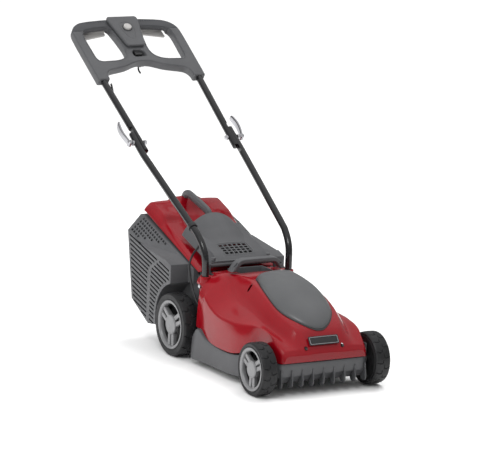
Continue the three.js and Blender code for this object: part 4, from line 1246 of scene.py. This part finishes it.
def make_trigger(name, side):
    """A squeeze bar under the grip, flared at its outer end."""
    outline = corner_rounded([(side * x, u) for x, u in ((58, 504), (136, 500), (138, 474), (133, 471.5),
                                                         (58, 488))], 4, 4)
    paddle = slab("paddle", outline, -20, -14.6, on_handle, round_by=1.6, segments=3)
    root = bevelled(rod("root", *on_handle([(side * 58.5, 502, -12), (side * 135.5, 502, -12)]), 4.9), 0.8)
    neck = block("neck", *sorted((side * 60.5, side * 133.5)), 497.2, 500, -19, -10, where=on_handle)
    finished(joined(f"squeeze_bar_{name}", [paddle, root, neck]), f"trigger_{name[0]}", "light_grey",
             f"trigger_{name}", angle=35)


for side_name, side_sign in SIDES:
    make_trigger(side_name, side_sign)


# ------------------------------------------------------------------ cable
def make_cable():
    """One cable from the handle to the deck, as one fixed tube that curves round the handle's fold."""
    held = on_handle([(-134, 262, -6), (-137, 243, -10), (-143, 215, -13.6), (-147, 180, -14),
                      (-147, 120, -14), (-146, 60, -14),
                      (-146, 20, -14), (-146, -30, -14), (-147, -70, -14), (-148, -120, -14),
                      (-146, -190, -13.6),
                      (-140, -260, -12.5), (-131, -320, -7)])
    lower = place([(-127, 10, 366), (-127, -22, 344), (-132, -36, 322), (-150, -33, 296),
                   (-158, -29, 268), (-158, -34, 240), (-157, -48, 205), (-157, -64, 182), (-155, -80, 164),
                   (-152, -96, 156)])
    path = curve_through(np.vstack([held, lower]), 260)
    cable = swept("cable", path, ring_section(CABLE_RADIUS, 16), (1, 0, 0))
    finished(cable, None, "cable_black", angle=40)
    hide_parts("upper_cable", "lower_cable")
    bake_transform(cable)


make_cable()

# ------------------------------------------------------------------ small pieces taken from the CAD solids
REFINED = {
    "axle_bracket_left": ("deck", "grey_plastic", 1.0), "axle_bracket_right": ("deck", "grey_plastic", 1.0),
    "front_axle": ("deck", "steel", 0.5), "rear_axle": ("deck", "steel", 0.5),
    "motor_body": ("deck", "black_plastic", 1.5), "motor_shaft": ("rotor", "steel", 0.5),
    "blade_fan": ("rotor", "grey_plastic", 0.6), "blade": ("rotor", "blade_steel", 0.5),
    "blade_bolt": ("rotor", "steel", 0.5),
    "flap_pin": ("deck", "steel", 0.4), "hood_screw_left": ("deck", "black_plastic", 0.4),
    "hood_screw_right": ("deck", "black_plastic", 0.4),
    "socket_bolt_left": ("deck", "steel", 0.6), "socket_bolt_right": ("deck", "steel", 0.6),
    "clamp_bolt_left": ("deck", "steel", 0.6), "clamp_bolt_right": ("deck", "steel", 0.6),
    "cable_clip": ("deck", "black_plastic", 0.6), "cable_hook": ("upper_handle", "black_plastic", 0.5),
    "power_inlet": ("upper_handle", "black_plastic", 0.4),
}
for node_name, (body_name, slot_name, round_width) in REFINED.items():
    finished(softened(node_name, round_width), body_name, slot_name, node_name)
